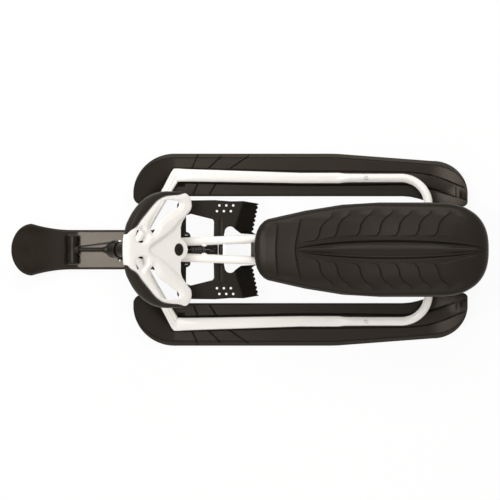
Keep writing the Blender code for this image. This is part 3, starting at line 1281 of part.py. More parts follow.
lug_x, lug_z = LUG_X - BRAKE_X, LUG_Z - BRAKE_Z
lug_outline = arc(LUG_R, 0, 180, 8, (lug_x, lug_z))
lug_outline += [(lug_x - LUG_R + 0.003, plate_low + 0.001), (lug_x + LUG_R + 0.003,
                                                            plate_low + 0.001)]
boolean(plate, standing("lug", lug_outline, -LUG_HALF, LUG_HALF, BLACK_STEEL, brake_axis), "UNION")
drill(plate, (lug_x, -0.010, lug_z), (0, 1, 0), 0.020, LUG_HOLE_R)

# One unbroken wire: a hook round the anchor, the coils, a straight run and a hook in the lug
spring_back = Vector((LUG_X, 0.0, LUG_Z))
run = (spring_back - SPRING_FRONT).normalized()
across = Vector((0, 1, 0))
lift = run.cross(across)
hook_r = ANCHOR_R + WIRE_R + GAP
wire = [SPRING_FRONT + run * hook_r * math.cos(a) + lift * hook_r * math.sin(a)
        for a in (math.radians(d) for d in (20, 70, 125, 180, 235, 290))]
coil_start = SPRING_FRONT + run * 2.2 * hook_r
for i in range(COILS * COIL_POINTS + 1):
    turn = 2 * math.pi * i / COIL_POINTS - math.pi / 2
    wire.append(coil_start + run * COIL_LENGTH * i / (COILS * COIL_POINTS)
                + across * COIL_R * math.cos(turn) + lift * COIL_R * math.sin(turn))
hook_y = LUG_HALF + WIRE_R + 0.0010
wire += [spring_back - run * back for back in (0.0160, 0.0130)]
wire += [spring_back - run * back - across * hook_y for back in (0.0090, 0.0020)]
wire += [spring_back - across * (hook_y - 0.0010), spring_back + across * hook_y]
tube("brake_spring", wire, WIRE_R, BRIGHT_STEEL, sides=1)
coil_gap = COIL_LENGTH / COILS - 2 * WIRE_R
print(f"brake_spring: least gap between its coils {coil_gap * 1000:.2f} mm")

anchor_half = rail_y(SPRING_FRONT.x) - RAIL_R + ANCHOR_GRIP
rod("spring_anchor", SPRING_FRONT - across * anchor_half, across, 2 * anchor_half, ANCHOR_R,
    BRIGHT_STEEL, segments=12)
for side, hand in HANDS:
    drill(bpy.data.objects["main_rail_" + hand], SPRING_FRONT, across * side,
          anchor_half + GAP, ANCHOR_R + GAP)

# The crosspiece welded between the rails, and the stop that the released plate rests against
rail_slope = (SEAT_RAIL_Z - RAIL_FRONT.z) / (RAIL_BEND_X - RAIL_FRONT.x)
bridge_z = RAIL_FRONT.z + (BRIDGE_X - RAIL_FRONT.x) * rail_slope
clear_of_rails(block("rail_bridge", (BRIDGE_X, 0, bridge_z),
                     (2 * BRIDGE_HALF, 2 * rail_y(BRIDGE_X), 2 * BRIDGE_TALL), WHITE_PAINT))
stop_back = BRIDGE_X - BRIDGE_HALF - GAP
stop_low = PLATE_TOP_Z + 2 * GAP
stop_outline = [(STOP_FRONT_X, bridge_z + BRIDGE_TALL), (STOP_FRONT_X, bridge_z - 0.020),
                (STOP_FRONT_X + 0.002, stop_low), (stop_back, stop_low),
                (stop_back, bridge_z + BRIDGE_TALL)]
standing("brake_stop", stop_outline, -STOP_HALF_Y, STOP_HALF_Y, GRIP_RUBBER)
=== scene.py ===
import math

import bmesh
import bpy
import numpy as np
from mathutils import Matrix, Vector
from mathutils.geometry import delaunay_2d_cdt


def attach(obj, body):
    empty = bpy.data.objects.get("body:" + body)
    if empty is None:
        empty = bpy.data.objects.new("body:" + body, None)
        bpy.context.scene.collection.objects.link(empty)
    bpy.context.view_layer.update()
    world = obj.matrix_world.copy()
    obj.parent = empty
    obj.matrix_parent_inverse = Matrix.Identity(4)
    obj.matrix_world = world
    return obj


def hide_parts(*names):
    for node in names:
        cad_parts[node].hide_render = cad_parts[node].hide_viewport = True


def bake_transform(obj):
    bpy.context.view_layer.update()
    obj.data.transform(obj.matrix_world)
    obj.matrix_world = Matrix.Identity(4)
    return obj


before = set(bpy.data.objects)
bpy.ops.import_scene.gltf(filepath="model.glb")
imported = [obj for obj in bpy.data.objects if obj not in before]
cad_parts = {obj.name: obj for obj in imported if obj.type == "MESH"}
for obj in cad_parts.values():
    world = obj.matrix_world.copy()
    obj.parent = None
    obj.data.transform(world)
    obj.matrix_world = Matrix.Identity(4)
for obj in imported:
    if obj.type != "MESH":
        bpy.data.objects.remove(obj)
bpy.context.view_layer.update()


scene = bpy.context.scene
scene.view_settings.view_transform = "Standard"

# Camera. The photograph is a studio shot from straight above, from far enough away that the
# wheel hardly grows. The whole sled fits with a small margin and the front ski points left.
CAMERA_HEIGHT = 4.5
PICTURE_WIDTH = 1.265                    # at the snow
PICTURE_X, PICTURE_Y = 0.0087, -0.0008   # what stands in the picture's middle
SENSOR = 36.0
camera_data = bpy.data.cameras.new("camera")
camera_data.sensor_width = SENSOR
camera_data.lens = SENSOR * CAMERA_HEIGHT / PICTURE_WIDTH
camera = bpy.data.objects.new("camera", camera_data)
camera.location = (PICTURE_X, PICTURE_Y, CAMERA_HEIGHT)
scene.collection.objects.link(camera)
scene.camera = camera

# Light. A long soft box on each side, a weak one high on the right and one ahead, as for a
# catalogue cut-out: straight above nothing shines, so flat black decks stay black, but for the
# small box that the glossy front ski mirrors.
def soft_box(name, place, target, width, height, power):
    """An oblong lamp, turned from its place to a target; its power is in watts."""
    light = bpy.data.lights.new(name, "AREA")
    light.shape = "RECTANGLE"
    light.size = width
    light.size_y = height
    light.energy = power
    lamp = bpy.data.objects.new(name, light)
    lamp.location = place
    lamp.rotation_euler = (Vector(target) - Vector(place)).to_track_quat("-Z", "Y").to_euler()
    scene.collection.objects.link(lamp)


SLED_MIDDLE = (0.0, 0.0, 0.1)
soft_box("right_side", (0.1, 2.0, 2.0), SLED_MIDDLE, 2.4, 0.9, 28.0)
soft_box("left_side", (0.1, -2.0, 2.1), SLED_MIDDLE, 2.4, 0.9, 9.5)
soft_box("high_right", (0.0, 1.0, 3.1), SLED_MIDDLE, 2.2, 0.6, 7.0)
soft_box("ahead", (-1.4, 0.3, 2.8), SLED_MIDDLE, 0.9, 1.2, 25.0)
soft_box("over_front_ski", (-0.61, 0.0, 3.0), (-0.61, 0.0, 0.0), 0.46, 0.46, 7.5)

# Studio walls. The light that comes off them is dim and a little warm, but the camera and all
# that mirrors or lets light through see them as plain white.
WALL_TONE, WALL_STRENGTH = (1.0, 0.975, 0.94, 1.0), 0.55
world = bpy.data.worlds.new("studio")
scene.world = world
world.use_nodes = True


def seen_by_eye(tree):
    """1 for what the camera, the gloss and clear parts see, 0 for the light that falls."""
    path = tree.nodes.new("ShaderNodeLightPath")
    seen = path.outputs["Is Camera Ray"]
    for ray in ("Is Glossy Ray", "Is Transmission Ray"):
        either = tree.nodes.new("ShaderNodeMath")
        either.operation = "MAXIMUM"
        tree.links.new(seen, either.inputs[0])
        tree.links.new(path.outputs[ray], either.inputs[1])
        seen = either.outputs[0]
    return seen


tree = world.node_tree
walls = tree.nodes["Background"]
walls.inputs["Color"].default_value = WALL_TONE
walls.inputs["Strength"].default_value = WALL_STRENGTH
backdrop = tree.nodes.new("ShaderNodeBackground")
backdrop.inputs["Color"].default_value = (1.0, 1.0, 1.0, 1.0)
backdrop.inputs["Strength"].default_value = 1.0
mix = tree.nodes.new("ShaderNodeMixShader")
tree.links.new(seen_by_eye(tree), mix.inputs["Fac"])
tree.links.new(walls.outputs[0], mix.inputs[1])
tree.links.new(backdrop.outputs[0], mix.inputs[2])
tree.links.new(mix.outputs[0], tree.nodes["World Output"].inputs["Surface"])


# Floor. White seamless paper: what the camera and the gloss see of it is plain white, and the
# sled's own soft shadow stays on it.
FLOOR_SIZE = 14.0
FLOOR_DROP = 0.0004                      # so that the keels stand clear of the paper
PAPER_TONE = 0.90
PAPER_GLOW = 0.90                        # share of plain white in what the camera sees of it
bm = bmesh.new()
bmesh.ops.create_grid(bm, x_segments=1, y_segments=1, size=FLOOR_SIZE / 2)
floor_mesh = bpy.data.meshes.new("floor")
bm.to_mesh(floor_mesh)
bm.free()
floor = bpy.data.objects.new("floor", floor_mesh)
floor.location = (0.0, 0.0, -FLOOR_DROP)
scene.collection.objects.link(floor)

paper = bpy.data.materials.new("white_paper")
paper.use_nodes = True
tree = paper.node_tree
tree.nodes.clear()
out = tree.nodes.new("ShaderNodeOutputMaterial")
mix = tree.nodes.new("ShaderNodeMixShader")
matt = tree.nodes.new("ShaderNodeBsdfDiffuse")
matt.inputs["Color"].default_value = (PAPER_TONE, PAPER_TONE, PAPER_TONE, 1.0)
glow = tree.nodes.new("ShaderNodeEmission")
glow.inputs["Strength"].default_value = 1.0
seen = tree.nodes.new("ShaderNodeMath")
seen.operation = "MULTIPLY"
seen.inputs[1].default_value = PAPER_GLOW
tree.links.new(seen_by_eye(tree), seen.inputs[0])
tree.links.new(seen.outputs[0], mix.inputs["Fac"])
tree.links.new(matt.outputs[0], mix.inputs[1])
tree.links.new(glow.outputs[0], mix.inputs[2])
tree.links.new(mix.outputs[0], out.inputs["Surface"])
floor_mesh.materials.append(paper)


# Main rails and head tube. Each rail is one round steel tube with a single bend: it starts at
# the side of the head tube, rises to the seat and runs on level below it. The whole frame is
# powder coated in gloss white, slightly uneven as all thick powder is.
def surface_group():
    """Uneven tone, uneven gloss and a fine relief, as every moulded or coated skin here has."""
    group = bpy.data.node_groups.new("skin", "ShaderNodeTree")
    sockets = (("Tone", "NodeSocketColor"), ("Tone Drift", "NodeSocketFloat"),
               ("Drift Size", "NodeSocketFloat"), ("Roughness", "NodeSocketFloat"),
               ("Roughness Drift", "NodeSocketFloat"), ("Grain Size", "NodeSocketFloat"),
               ("Scuff", "NodeSocketFloat"))
    for name, kind in sockets:
        group.interface.new_socket(name, in_out="INPUT", socket_type=kind)
    for name, kind in (("Color", "NodeSocketColor"), ("Roughness", "NodeSocketFloat"),
                       ("Height", "NodeSocketFloat")):
        group.interface.new_socket(name, in_out="OUTPUT", socket_type=kind)
    nodes, links = group.nodes, group.links
    take = nodes.new("NodeGroupInput")
    give = nodes.new("NodeGroupOutput")
    where = nodes.new("ShaderNodeTexCoord")

    def noise(size_socket, detail):
        """Cloudy noise on the piece, with features of a size in metres."""
        node = nodes.new("ShaderNodeTexNoise")
        node.inputs["Detail"].default_value = detail
        per_metre = nodes.new("ShaderNodeMath")
        per_metre.operation = "DIVIDE"
        per_metre.inputs[0].default_value = 1.0
        links.new(size_socket, per_metre.inputs[1])
        links.new(where.outputs["Object"], node.inputs["Vector"])
        links.new(per_metre.outputs[0], node.inputs["Scale"])
        return node.outputs["Fac"]

    def spread_about(fac, middle, amount):
        """middle + (fac - 0.5) * 2 * amount."""
        centred = nodes.new("ShaderNodeMath")
        centred.operation = "MULTIPLY_ADD"
        centred.inputs[1].default_value = 2.0
        centred.inputs[2].default_value = -1.0
        links.new(fac, centred.inputs[0])
        total = nodes.new("ShaderNodeMath")
        total.operation = "MULTIPLY_ADD"
        links.new(centred.outputs[0], total.inputs[0])
        links.new(amount, total.inputs[1])
        if isinstance(middle, float):
            total.inputs[2].default_value = middle
        else:
            links.new(middle, total.inputs[2])
        return total.outputs[0]

    drift = noise(take.outputs["Drift Size"], 4.0)
    grain = noise(take.outputs["Grain Size"], 2.0)
    bright = spread_about(drift, 1.0, take.outputs["Tone Drift"])
    shade = nodes.new("ShaderNodeHueSaturation")
    links.new(take.outputs["Tone"], shade.inputs["Color"])
    links.new(bright, shade.inputs["Value"])
    # fine scratches, drawn out along the sled
    streak_map = nodes.new("ShaderNodeMapping")
    streak_map.inputs["Scale"].default_value = (0.15, 1.0, 1.0)
    streaks = nodes.new("ShaderNodeTexNoise")
    streaks.inputs["Scale"].default_value = 260.0
    streaks.inputs["Detail"].default_value = 3.0
    links.new(where.outputs["Object"], streak_map.inputs["Vector"])
    links.new(streak_map.outputs[0], streaks.inputs["Vector"])
    scuffed = nodes.new("ShaderNodeMapRange")
    scuffed.inputs["From Min"].default_value = 0.60
    scuffed.inputs["From Max"].default_value = 0.78
    links.new(streaks.outputs["Fac"], scuffed.inputs["Value"])
    scuff = nodes.new("ShaderNodeMath")
    scuff.operation = "MULTIPLY"
    links.new(scuffed.outputs["Result"], scuff.inputs[0])
    links.new(take.outputs["Scuff"], scuff.inputs[1])
    rough = spread_about(drift, take.outputs["Roughness"], take.outputs["Roughness Drift"])
    worn = nodes.new("ShaderNodeMath")
    worn.operation = "ADD"
    worn.use_clamp = True
    links.new(rough, worn.inputs[0])
    links.new(scuff.outputs[0], worn.inputs[1])
    links.new(shade.outputs["Color"], give.inputs["Color"])
    links.new(worn.outputs[0], give.inputs["Roughness"])
    links.new(grain, give.inputs["Height"])
    return group


skin = surface_group()


def finish(name, tone, roughness, tone_drift=0.06, drift_size=0.05, gloss_drift=0.04,
           grain_size=0.0016, grain_depth=0.00003, scuff=0.0, metallic=0.0, coat=0.0,
           coat_roughness=0.08, sheen=0.0, specular=0.5, gloss_tone=(1.0, 1.0, 1.0)):
    """A Principled material whose tone, gloss and relief come from the skin group."""
    made = bpy.data.materials.new(name)
    made.use_nodes = True
    nodes, links = made.node_tree.nodes, made.node_tree.links
    shader = nodes["Principled BSDF"]
    shader.inputs["Metallic"].default_value = metallic
    shader.inputs["Coat Weight"].default_value = coat
    shader.inputs["Coat Roughness"].default_value = coat_roughness
    shader.inputs["Sheen Weight"].default_value = sheen
    shader.inputs["Specular IOR Level"].default_value = specular
    shader.inputs["Specular Tint"].default_value = (*gloss_tone, 1.0)
    skin_node = nodes.new("ShaderNodeGroup")
    skin_node.node_tree = skin
    values = {"Tone": (*tone, 1.0), "Tone Drift": tone_drift, "Drift Size": drift_size,
              "Roughness": roughness, "Roughness Drift": gloss_drift, "Grain Size": grain_size,
              "Scuff": scuff}
    for socket, value in values.items():
        skin_node.inputs[socket].default_value = value
    relief = nodes.new("ShaderNodeBump")
    relief.inputs["Strength"].default_value = 1.0
    relief.inputs["Distance"].default_value = grain_depth
    links.new(skin_node.outputs["Color"], shader.inputs["Base Color"])
    links.new(skin_node.outputs["Roughness"], shader.inputs["Roughness"])
    links.new(skin_node.outputs["Height"], relief.inputs["Height"])
    links.new(relief.outputs["Normal"], shader.inputs["Normal"])
    return made


def dress(node, material):
    """Gives a CAD node its finish."""
    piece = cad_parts[node]
    piece.data.materials.clear()
    piece.data.materials.append(material)


def piece_of(name, bm, material, body=None, smooth=40.0):
    """Turns a bmesh into a finished piece: faces outwards, smooth up to an angle."""
    bmesh.ops.remove_doubles(bm, verts=bm.verts, dist=1e-6)
    bmesh.ops.recalc_face_normals(bm, faces=bm.faces)
    mesh = bpy.data.meshes.new(name)
    bm.to_mesh(mesh)
    bm.free()
    for face in mesh.polygons:
        face.use_smooth = True
    mesh.set_sharp_from_angle(angle=math.radians(smooth))
    mesh.materials.append(material)
    piece = bpy.data.objects.new(name, mesh)
    scene.collection.objects.link(piece)
    if body:
        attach(piece, body)
    return piece


SHARP_ANGLE = math.radians(30.0)         # edges steeper than this are broken


def blunt(node, material, body, width, smooth=35.0):
    """A moulded or turned small part: the CAD node's own shape with its sharp edges broken."""
    bm = bmesh.new()
    bm.from_mesh(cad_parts[node].data)
    bmesh.ops.remove_doubles(bm, verts=bm.verts, dist=1e-6)
    bmesh.ops.dissolve_limit(bm, angle_limit=0.01, verts=bm.verts, edges=bm.edges)
    if width:
        sharp = [e for e in bm.edges if len(e.link_faces) == 2
                 and e.calc_face_angle(0.0) > SHARP_ANGLE]
        bmesh.ops.bevel(bm, geom=sharp, offset=width, segments=2, profile=0.5,
                        affect="EDGES", material=-1, clamp_overlap=True)
    bmesh.ops.triangulate(bm, faces=[f for f in bm.faces if len(f.verts) > 4])
    piece = piece_of(node + "_finished", bm, material, body, smooth)
    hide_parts(node)
    return piece


def sweep(name, points, radius, material, body):
    """A round bar or tube along points, closed at both ends."""
    curve = bpy.data.curves.new(name + "_path", "CURVE")
    curve.dimensions = "3D"
    curve.bevel_depth = radius
    curve.bevel_resolution = 14
    curve.use_fill_caps = True
    spline = curve.splines.new("POLY")
    spline.points.add(len(points) - 1)
    for spot, point in zip(spline.points, points):
        spot.co = (*point, 1.0)
    guide = bpy.data.objects.new(name + "_path", curve)
    scene.collection.objects.link(guide)
    graph = bpy.context.evaluated_depsgraph_get()
    mesh = bpy.data.meshes.new_from_object(guide.evaluated_get(graph))
    bpy.data.objects.remove(guide, do_unlink=True)
    bm = bmesh.new()
    bm.from_mesh(mesh)
    return piece_of(name, bm, material, body)


def bent(corners, radii, step=4.0):
    """The centre line of a bent tube: straight runs joined by arcs."""
    path = [corners[0]]
    for i, radius in enumerate(radii):
        before, corner, after = path[-1], corners[i + 1], corners[i + 2]
        into = (corner - before).normalized()
        out = (after - corner).normalized()
        turn = into.angle(out)
        start = corner - into * radius * math.tan(turn / 2)
        axis = into.cross(out).normalized()
        centre = start + axis.cross(into) * radius
        steps = max(1, math.ceil(math.degrees(turn) / step))
        for j in range(steps + 1):
            spin = Matrix.Rotation(turn * j / steps, 3, axis)
            path.append(centre + spin @ (start - centre))
    path.append(corners[-1])
    return path


def skin_over(bm, rings):
    """Bridges a row of rings, each made as a circle of vertices, and caps both ends."""
    loops = []
    for ring in rings:
        verts = bmesh.ops.create_circle(bm, segments=len(ring), radius=1.0)["verts"]
        for vert, point in zip(verts, ring):
            vert.co = point
        loops.append(list({e for v in verts for e in v.link_edges}))
    for one, two in zip(loops, loops[1:]):
        bmesh.ops.bridge_loops(bm, edges=one + two)
    for loop in (loops[0], loops[-1]):
        bmesh.ops.contextual_create(bm, geom=loop)


white_paint = finish("white_powder_coat", (0.86, 0.835, 0.79), 0.26, tone_drift=0.015,
                     drift_size=0.08, gloss_drift=0.05, grain_size=0.0032,
                     grain_depth=0.00010, coat=0.15, specular=0.40)
RAIL_R = 0.0110
RAIL_FRONT_X, RAIL_FRONT_Z = -0.2560, 0.1240
RAIL_BEND_X, RAIL_BACK_X, RAIL_Z = -0.020, 0.4640, 0.1518
RAIL_BEND_R = 0.200
RAIL_LOOK_R = RAIL_R - 0.0006            # the thickness that is drawn here
RAIL_Y, RAIL_SPLAY = 0.0252, 0.0390      # distance from the middle at X 0, growth per metre
SIDES = ((1, "right"), (-1, "left"))


def rail_y(x):
    """A rail's distance from the middle of the sled."""
    return RAIL_Y + RAIL_SPLAY * x


def trim(piece, place, away):
    """Cuts a piece off square to a direction, drops what lies that way and closes the end."""
    bm = bmesh.new()
    bm.from_mesh(piece.data)
    cut = bmesh.ops.bisect_plane(bm, geom=bm.verts[:] + bm.edges[:] + bm.faces[:],
                                 plane_co=place, plane_no=away, clear_outer=True)
    rim = [e for e in cut["geom_cut"] if isinstance(e, bmesh.types.BMEdge)]
    bmesh.ops.contextual_create(bm, geom=rim)
    bm.to_mesh(piece.data)
    bm.free()


for side, hand in SIDES:
    corners = [Vector((x, side * rail_y(x), z)) for x, z in
               ((RAIL_FRONT_X - 0.006, RAIL_FRONT_Z - 0.0007),
                (RAIL_BEND_X, RAIL_Z), (RAIL_BACK_X, RAIL_Z))]
    rail = sweep("rail_" + hand, bent(corners, [RAIL_BEND_R], 1.0), RAIL_LOOK_R, white_paint,
                 "frame")
    cut_place, cut_away = (-0.2405, side * 0.0042, 0.125), (-0.0218, side * -0.0157, 0.0)
    trim(rail, cut_place, cut_away)
    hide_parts("main_rail_" + hand)
blunt("head_tube", white_paint, "frame", 0.0006)


# Side tubes. Each is one round steel tube, pressed nearly flat where its leg folds into the
# bar, then an oval bar that lies on the ski, and swaged down to take the rear hoop.
RAKE = math.radians(47.0)
HUB = Vector((-0.1626, 0.0, 0.2150))
UP_COLUMN = Vector((math.sin(RAKE), 0.0, math.cos(RAKE)))
FOLD_X, FOLD_Y = -0.1780, 0.1875
BAR_STRAIGHT_X, BAR_Y = 0.134, 0.1800
BAR_BOTTOM = 0.0238
LEG_D = 0.0230
HOOP_R = 0.01075
SWAGE_X, SWAGE_LENGTH = 0.232, 0.023
SOCKET_X, SOCKET_D = 0.2885, 2 * HOOP_R + 0.0006   # where the swaged end stops on the hoop
LEG_DOWN = 0.160                         # from the wheel's hub down the column to the leg's root
FOLD_WIDTH, FOLD_THICK = 0.0335, 0.0115  # the tube where it is pressed flattest
FOLD_AHEAD, FOLD_ACROSS = -0.266, 0.964  # the way the fold runs, seen from above
UNTWIST = 0.013                          # length of bar over which the fold's skew dies out
CREASE_PLACE, CREASE_WIDTH = 0.36, 0.15  # shares of half the width
LEG_RINGS, BAR_RINGS = 6, 4              # rings from one row of a table to the next
UP = Vector((0.0, 0.0, 1.0))


def bar_y(x):
    """The bar's middle: it closes in a little from the fold to where it runs straight."""
    t = min(1.0, max(0.0, (x - FOLD_X) / (BAR_STRAIGHT_X - FOLD_X)))
    return FOLD_Y + (BAR_Y - FOLD_Y) * t


def oval(centre, wide, up, width, height, square, crease=0.0, count=96):
    """A rounded section, squarer as square grows; crease is how deep two lines along its top
    are pressed in."""
    ring = []
    for i in range(count):
        angle = 2 * math.pi * (i + 0.5) / count
        across = math.copysign(abs(math.cos(angle)) ** (2 / square), math.cos(angle))
        rise = math.copysign(abs(math.sin(angle)) ** (2 / square), math.sin(angle))
        point = centre + wide * across * width / 2 + up * rise * height / 2
        if rise > 0 and crease:
            off = (abs(across) - CREASE_PLACE) / CREASE_WIDTH
            point -= up * crease * math.exp(-off ** 2)
        ring.append(point)
    return ring


def ease(t):
    """From 0 to 1, level at both ends."""
    t = min(1.0, max(0.0, t))
    return t * t * (3 - 2 * t)


def smoothed(rows, share):
    """Reads a table at a place between two of its rows, easing from one to the next."""
    i = min(len(rows) - 2, int(share))
    t = ease(share - i)
    return [a + (b - a) * t for a, b in zip(rows[i], rows[i + 1])]


for side, hand in SIDES:
    fold = Vector((FOLD_X, side * FOLD_Y, BAR_BOTTOM + FOLD_THICK / 2))
    head = HUB - UP_COLUMN * LEG_DOWN
    run = (fold - head).normalized()
    leg_length = (fold - head).length
    leg_wide = UP.cross(run).normalized() * side
    leg_up = run.cross(leg_wide) * side
    # place along the leg, width, height, squareness, crease
    leg = [(0.0135, LEG_D, LEG_D, 2.0, 0.0), (leg_length - 0.100, LEG_D, LEG_D, 2.0, 0.0006),
           (leg_length - 0.045, 0.0245, 0.0195, 2.3, 0.0024),
           (leg_length - 0.017, 0.0262, 0.0140, 3.0, 0.0030)]
    rings = []
    for i in range(LEG_RINGS * (len(leg) - 1) + 1):
        along, width, height, square, crease = smoothed(leg, i / LEG_RINGS)
        rings.append(oval(head + run * along, leg_wide, leg_up, width, height, square, crease))
    fold_line = Vector((FOLD_AHEAD, side * FOLD_ACROSS, 0.0))
    rings.append(oval(fold - run * 0.006, fold_line.lerp(leg_wide, 0.3).normalized(), UP,
                      0.0318, 0.0122, 3.2, 0.0022))
    rings.append(oval(fold, fold_line, UP, FOLD_WIDTH, FOLD_THICK, 3.4))
    # place along the sled, width, height, squareness
    bar = [(FOLD_X + 0.0070, FOLD_WIDTH, 0.0120, 3.2), (FOLD_X + 0.0100, 0.0334, 0.0128, 3.0),
           (FOLD_X + 0.016, 0.0320, 0.0140, 3.0), (FOLD_X + 0.045, 0.0310, 0.0155, 2.6),
           (BAR_STRAIGHT_X, 0.0260, 0.0155, 2.6), (SWAGE_X, 0.0260, 0.0155, 2.6),
           (SWAGE_X + SWAGE_LENGTH * 0.55, 0.0228, 0.0198, 2.2),
           (SWAGE_X + SWAGE_LENGTH, SOCKET_D, SOCKET_D, 2.0), (SOCKET_X, SOCKET_D, SOCKET_D, 2.0)]
    for i in range(BAR_RINGS * (len(bar) - 1) + 1):
        x, width, height, square = smoothed(bar, i / BAR_RINGS)
        out = Vector((0, side, 0)).lerp(fold_line, max(0.0, 1 - (x - FOLD_X) / UNTWIST))
        centre = Vector((x, side * bar_y(x), BAR_BOTTOM + height / 2))
        rings.append(oval(centre, out.normalized(), UP, width, height, square))
    bm = bmesh.new()
    skin_over(bm, rings)
    side_tube = piece_of("side_bar_" + hand, bm, white_paint, "frame", 50.0)
    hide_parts("side_tube_" + hand)


# Rear hoop. One bent round tube: it plugs into both bars, sweeps in over the ski tails, climbs
# and crosses under the rails, where it is bolted up.
GAP = 0.0003                             # between neighbours that only touch
HOOP_X = 0.4505
HOOP_START_X = SWAGE_X + SWAGE_LENGTH + GAP
HOOP_TOP_Z = RAIL_Z - RAIL_R - GAP - HOOP_R
HOOP_BENDS = [0.067, 0.045, 0.030]
right = [Vector((HOOP_START_X, BAR_Y, BAR_BOTTOM + HOOP_R)),
         Vector((HOOP_X + 0.002, BAR_Y, BAR_BOTTOM + HOOP_R)),
         Vector((HOOP_X + 0.004, 0.104, 0.058)), Vector((HOOP_X, 0.072, HOOP_TOP_Z))]
left = [Vector((p.x, -p.y, p.z)) for p in reversed(right)]
hoop = sweep("hoop", bent(right + left, HOOP_BENDS + HOOP_BENDS[::-1]), HOOP_R, white_paint,
             "frame")
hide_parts("rear_hoop")


# Rear skis. Each is a long injection-moulded blade of black polyethylene with both ends turned
# up. A hollow spine carries the bar; shallow grooves, a border step and rows of beads dress
# the deck, and two keels guide it below.
TIP_X, TAIL_X = -0.2830, 0.5550
SKI_OUTER, SKI_INNER = 0.2430, 0.1347
DECK_Z = 0.0095
SOLE_Z = 0.0020                          # underside between the keels
SPINE_HEIGHT, SPINE_HALF = 0.0140, 0.0150
SPINE_WALL, SPINE_ROOF = 0.0025, 0.0040
TIP_ROUND, TAIL_ROUND = 0.101, 0.084     # lengths of the round outer corners
TIP_DEEP = 0.1035                        # how far the tip's round reaches across the blade
TAPER_X, TAPER = 0.224, 0.075            # behind this the outer edge draws in
INNER_TIP_Y, INNER_TAIL_Y = 0.1120, 0.1083
TIP_CORNER, TAIL_CORNER = 0.022, 0.012   # radii of the inner corners
WAIST_RUN, WAIST_END_X = 0.095, 0.395    # the inner edge's curve in front, start of the rear one
TIP_RISE, TIP_RISE_RUN = 0.050, 0.104
TAIL_RISE, TAIL_RISE_RUN = 0.030, 0.100


def quarter(t):
    """From 0 to 1, as a quarter of a circle rises."""
    return math.sqrt(max(0.0, 1 - (1 - min(1.0, max(0.0, t))) ** 2))


def ski_outer(x):
    """The outer edge: round at both ends, it draws in towards the tail."""
    round_x = TAIL_X - TAIL_ROUND
    edge = SKI_OUTER - TAPER * max(0.0, min(x, round_x) - TAPER_X)
    if x < TIP_X + TIP_ROUND:
        low = SKI_OUTER - TIP_DEEP
        return low + (edge - low) * quarter((x - TIP_X) / TIP_ROUND)
    if x > round_x:
        return edge - TAIL_ROUND + TAIL_ROUND * quarter((TAIL_X - x) / TAIL_ROUND)
    return edge


def ski_inner(x):
    """The inner edge: the blade is narrower along its middle than at its ends."""
    edge = INNER_TIP_Y + (SKI_INNER - INNER_TIP_Y) * ease((x - TIP_X - TIP_CORNER) / WAIST_RUN)
    tail_run = TAIL_X - 0.034 - WAIST_END_X
    edge += (INNER_TAIL_Y - SKI_INNER) * ease((x - WAIST_END_X) / tail_run)
    edge += TIP_CORNER * (1 - quarter((x - TIP_X) / TIP_CORNER))
    edge += TAIL_CORNER * (1 - quarter((TAIL_X - x) / TAIL_CORNER))
    return edge


def ski_rise(x):
    """How far the blade is turned up at a place."""
    tip = max(0.0, (TIP_X + TIP_RISE_RUN - x) / TIP_RISE_RUN)
    tail = max(0.0, (x - TAIL_X + TAIL_RISE_RUN) / TAIL_RISE_RUN)
    return TIP_RISE * tip ** 1.8 + TAIL_RISE * tail ** 1.8


def spine_line(x):
    """The spine follows the bar, and the blade's own middle towards the tip."""
    middle = (ski_inner(x) + ski_outer(x)) / 2
    bow = 1.9 * max(0.0, x - WAIST_END_X) ** 2
    return middle + (bar_y(x) - bow - middle) * ease((x - TIP_X) / TIP_ROUND)


def near(x, y, run):
    """Distance from a point to the nearest of a row of straight strokes."""
    least = 1.0
    for (ax, ay), (bx, by) in zip(run, run[1:]):
        length = (bx - ax) ** 2 + (by - ay) ** 2
        t = min(1.0, max(0.0, ((x - ax) * (bx - ax) + (y - ay) * (by - ay)) / length))
        least = min(least, math.hypot(x - ax - t * (bx - ax), y - ay - t * (by - ay)))
    return least


GROOVES = (((-0.1200, 0.2445), (-0.1370, 0.2060)), ((-0.0650, 0.2345), (-0.0945, 0.2060)),
           ((0.0050, 0.2360), (-0.0430, 0.2030)), ((-0.1220, 0.1690), (-0.1350, 0.1370)),
           ((-0.0765, 0.1670), (-0.0940, 0.1370)), ((-0.1700, 0.1700), (-0.1560, 0.1700)),
           ((-0.1710, 0.1655), (-0.1565, 0.1655)), ((-0.1720, 0.1610), (-0.1570, 0.1610)),
           ((0.4604, 0.1893), (0.5062, 0.1740), (0.5457, 0.1556)),
           ((0.4634, 0.1541), (0.5062, 0.1435), (0.5487, 0.1251)))
GROOVE_DEEP, GROOVE_HALF = 0.0019, 0.0021


def groove(x, y):
    """How deep the deck is pressed in at a place."""
    d = min(near(x, y, run) for run in GROOVES) / GROOVE_HALF
    return GROOVE_DEEP * (1 - ease(d)) if d < 1 else 0.0


def softened(section, width=0.0007):
    """Rounds every corner of a closed section with three points."""
    soft = []
    for before, here, after in zip(section[-1:] + section[:-1], section, section[1:] + section[:1]):
        here = Vector(here)
        ends = []
        for other in (before, after):
            way = Vector(other) - here
            ends.append(here + way * min(0.33, width / max(way.length, 1e-6)))
        soft += [ends[0], (ends[0] + ends[1] + here * 2) / 4, ends[1]]
    return soft


def filled(section, start, count):
    """Adds count points between two neighbours of a section."""
    one, two = Vector(section[start]), Vector(section[start + 1])
    extra = [tuple(one.lerp(two, (i + 1) / (count + 1))) for i in range(count)]
    return section[:start + 1] + extra + section[start + 1:]


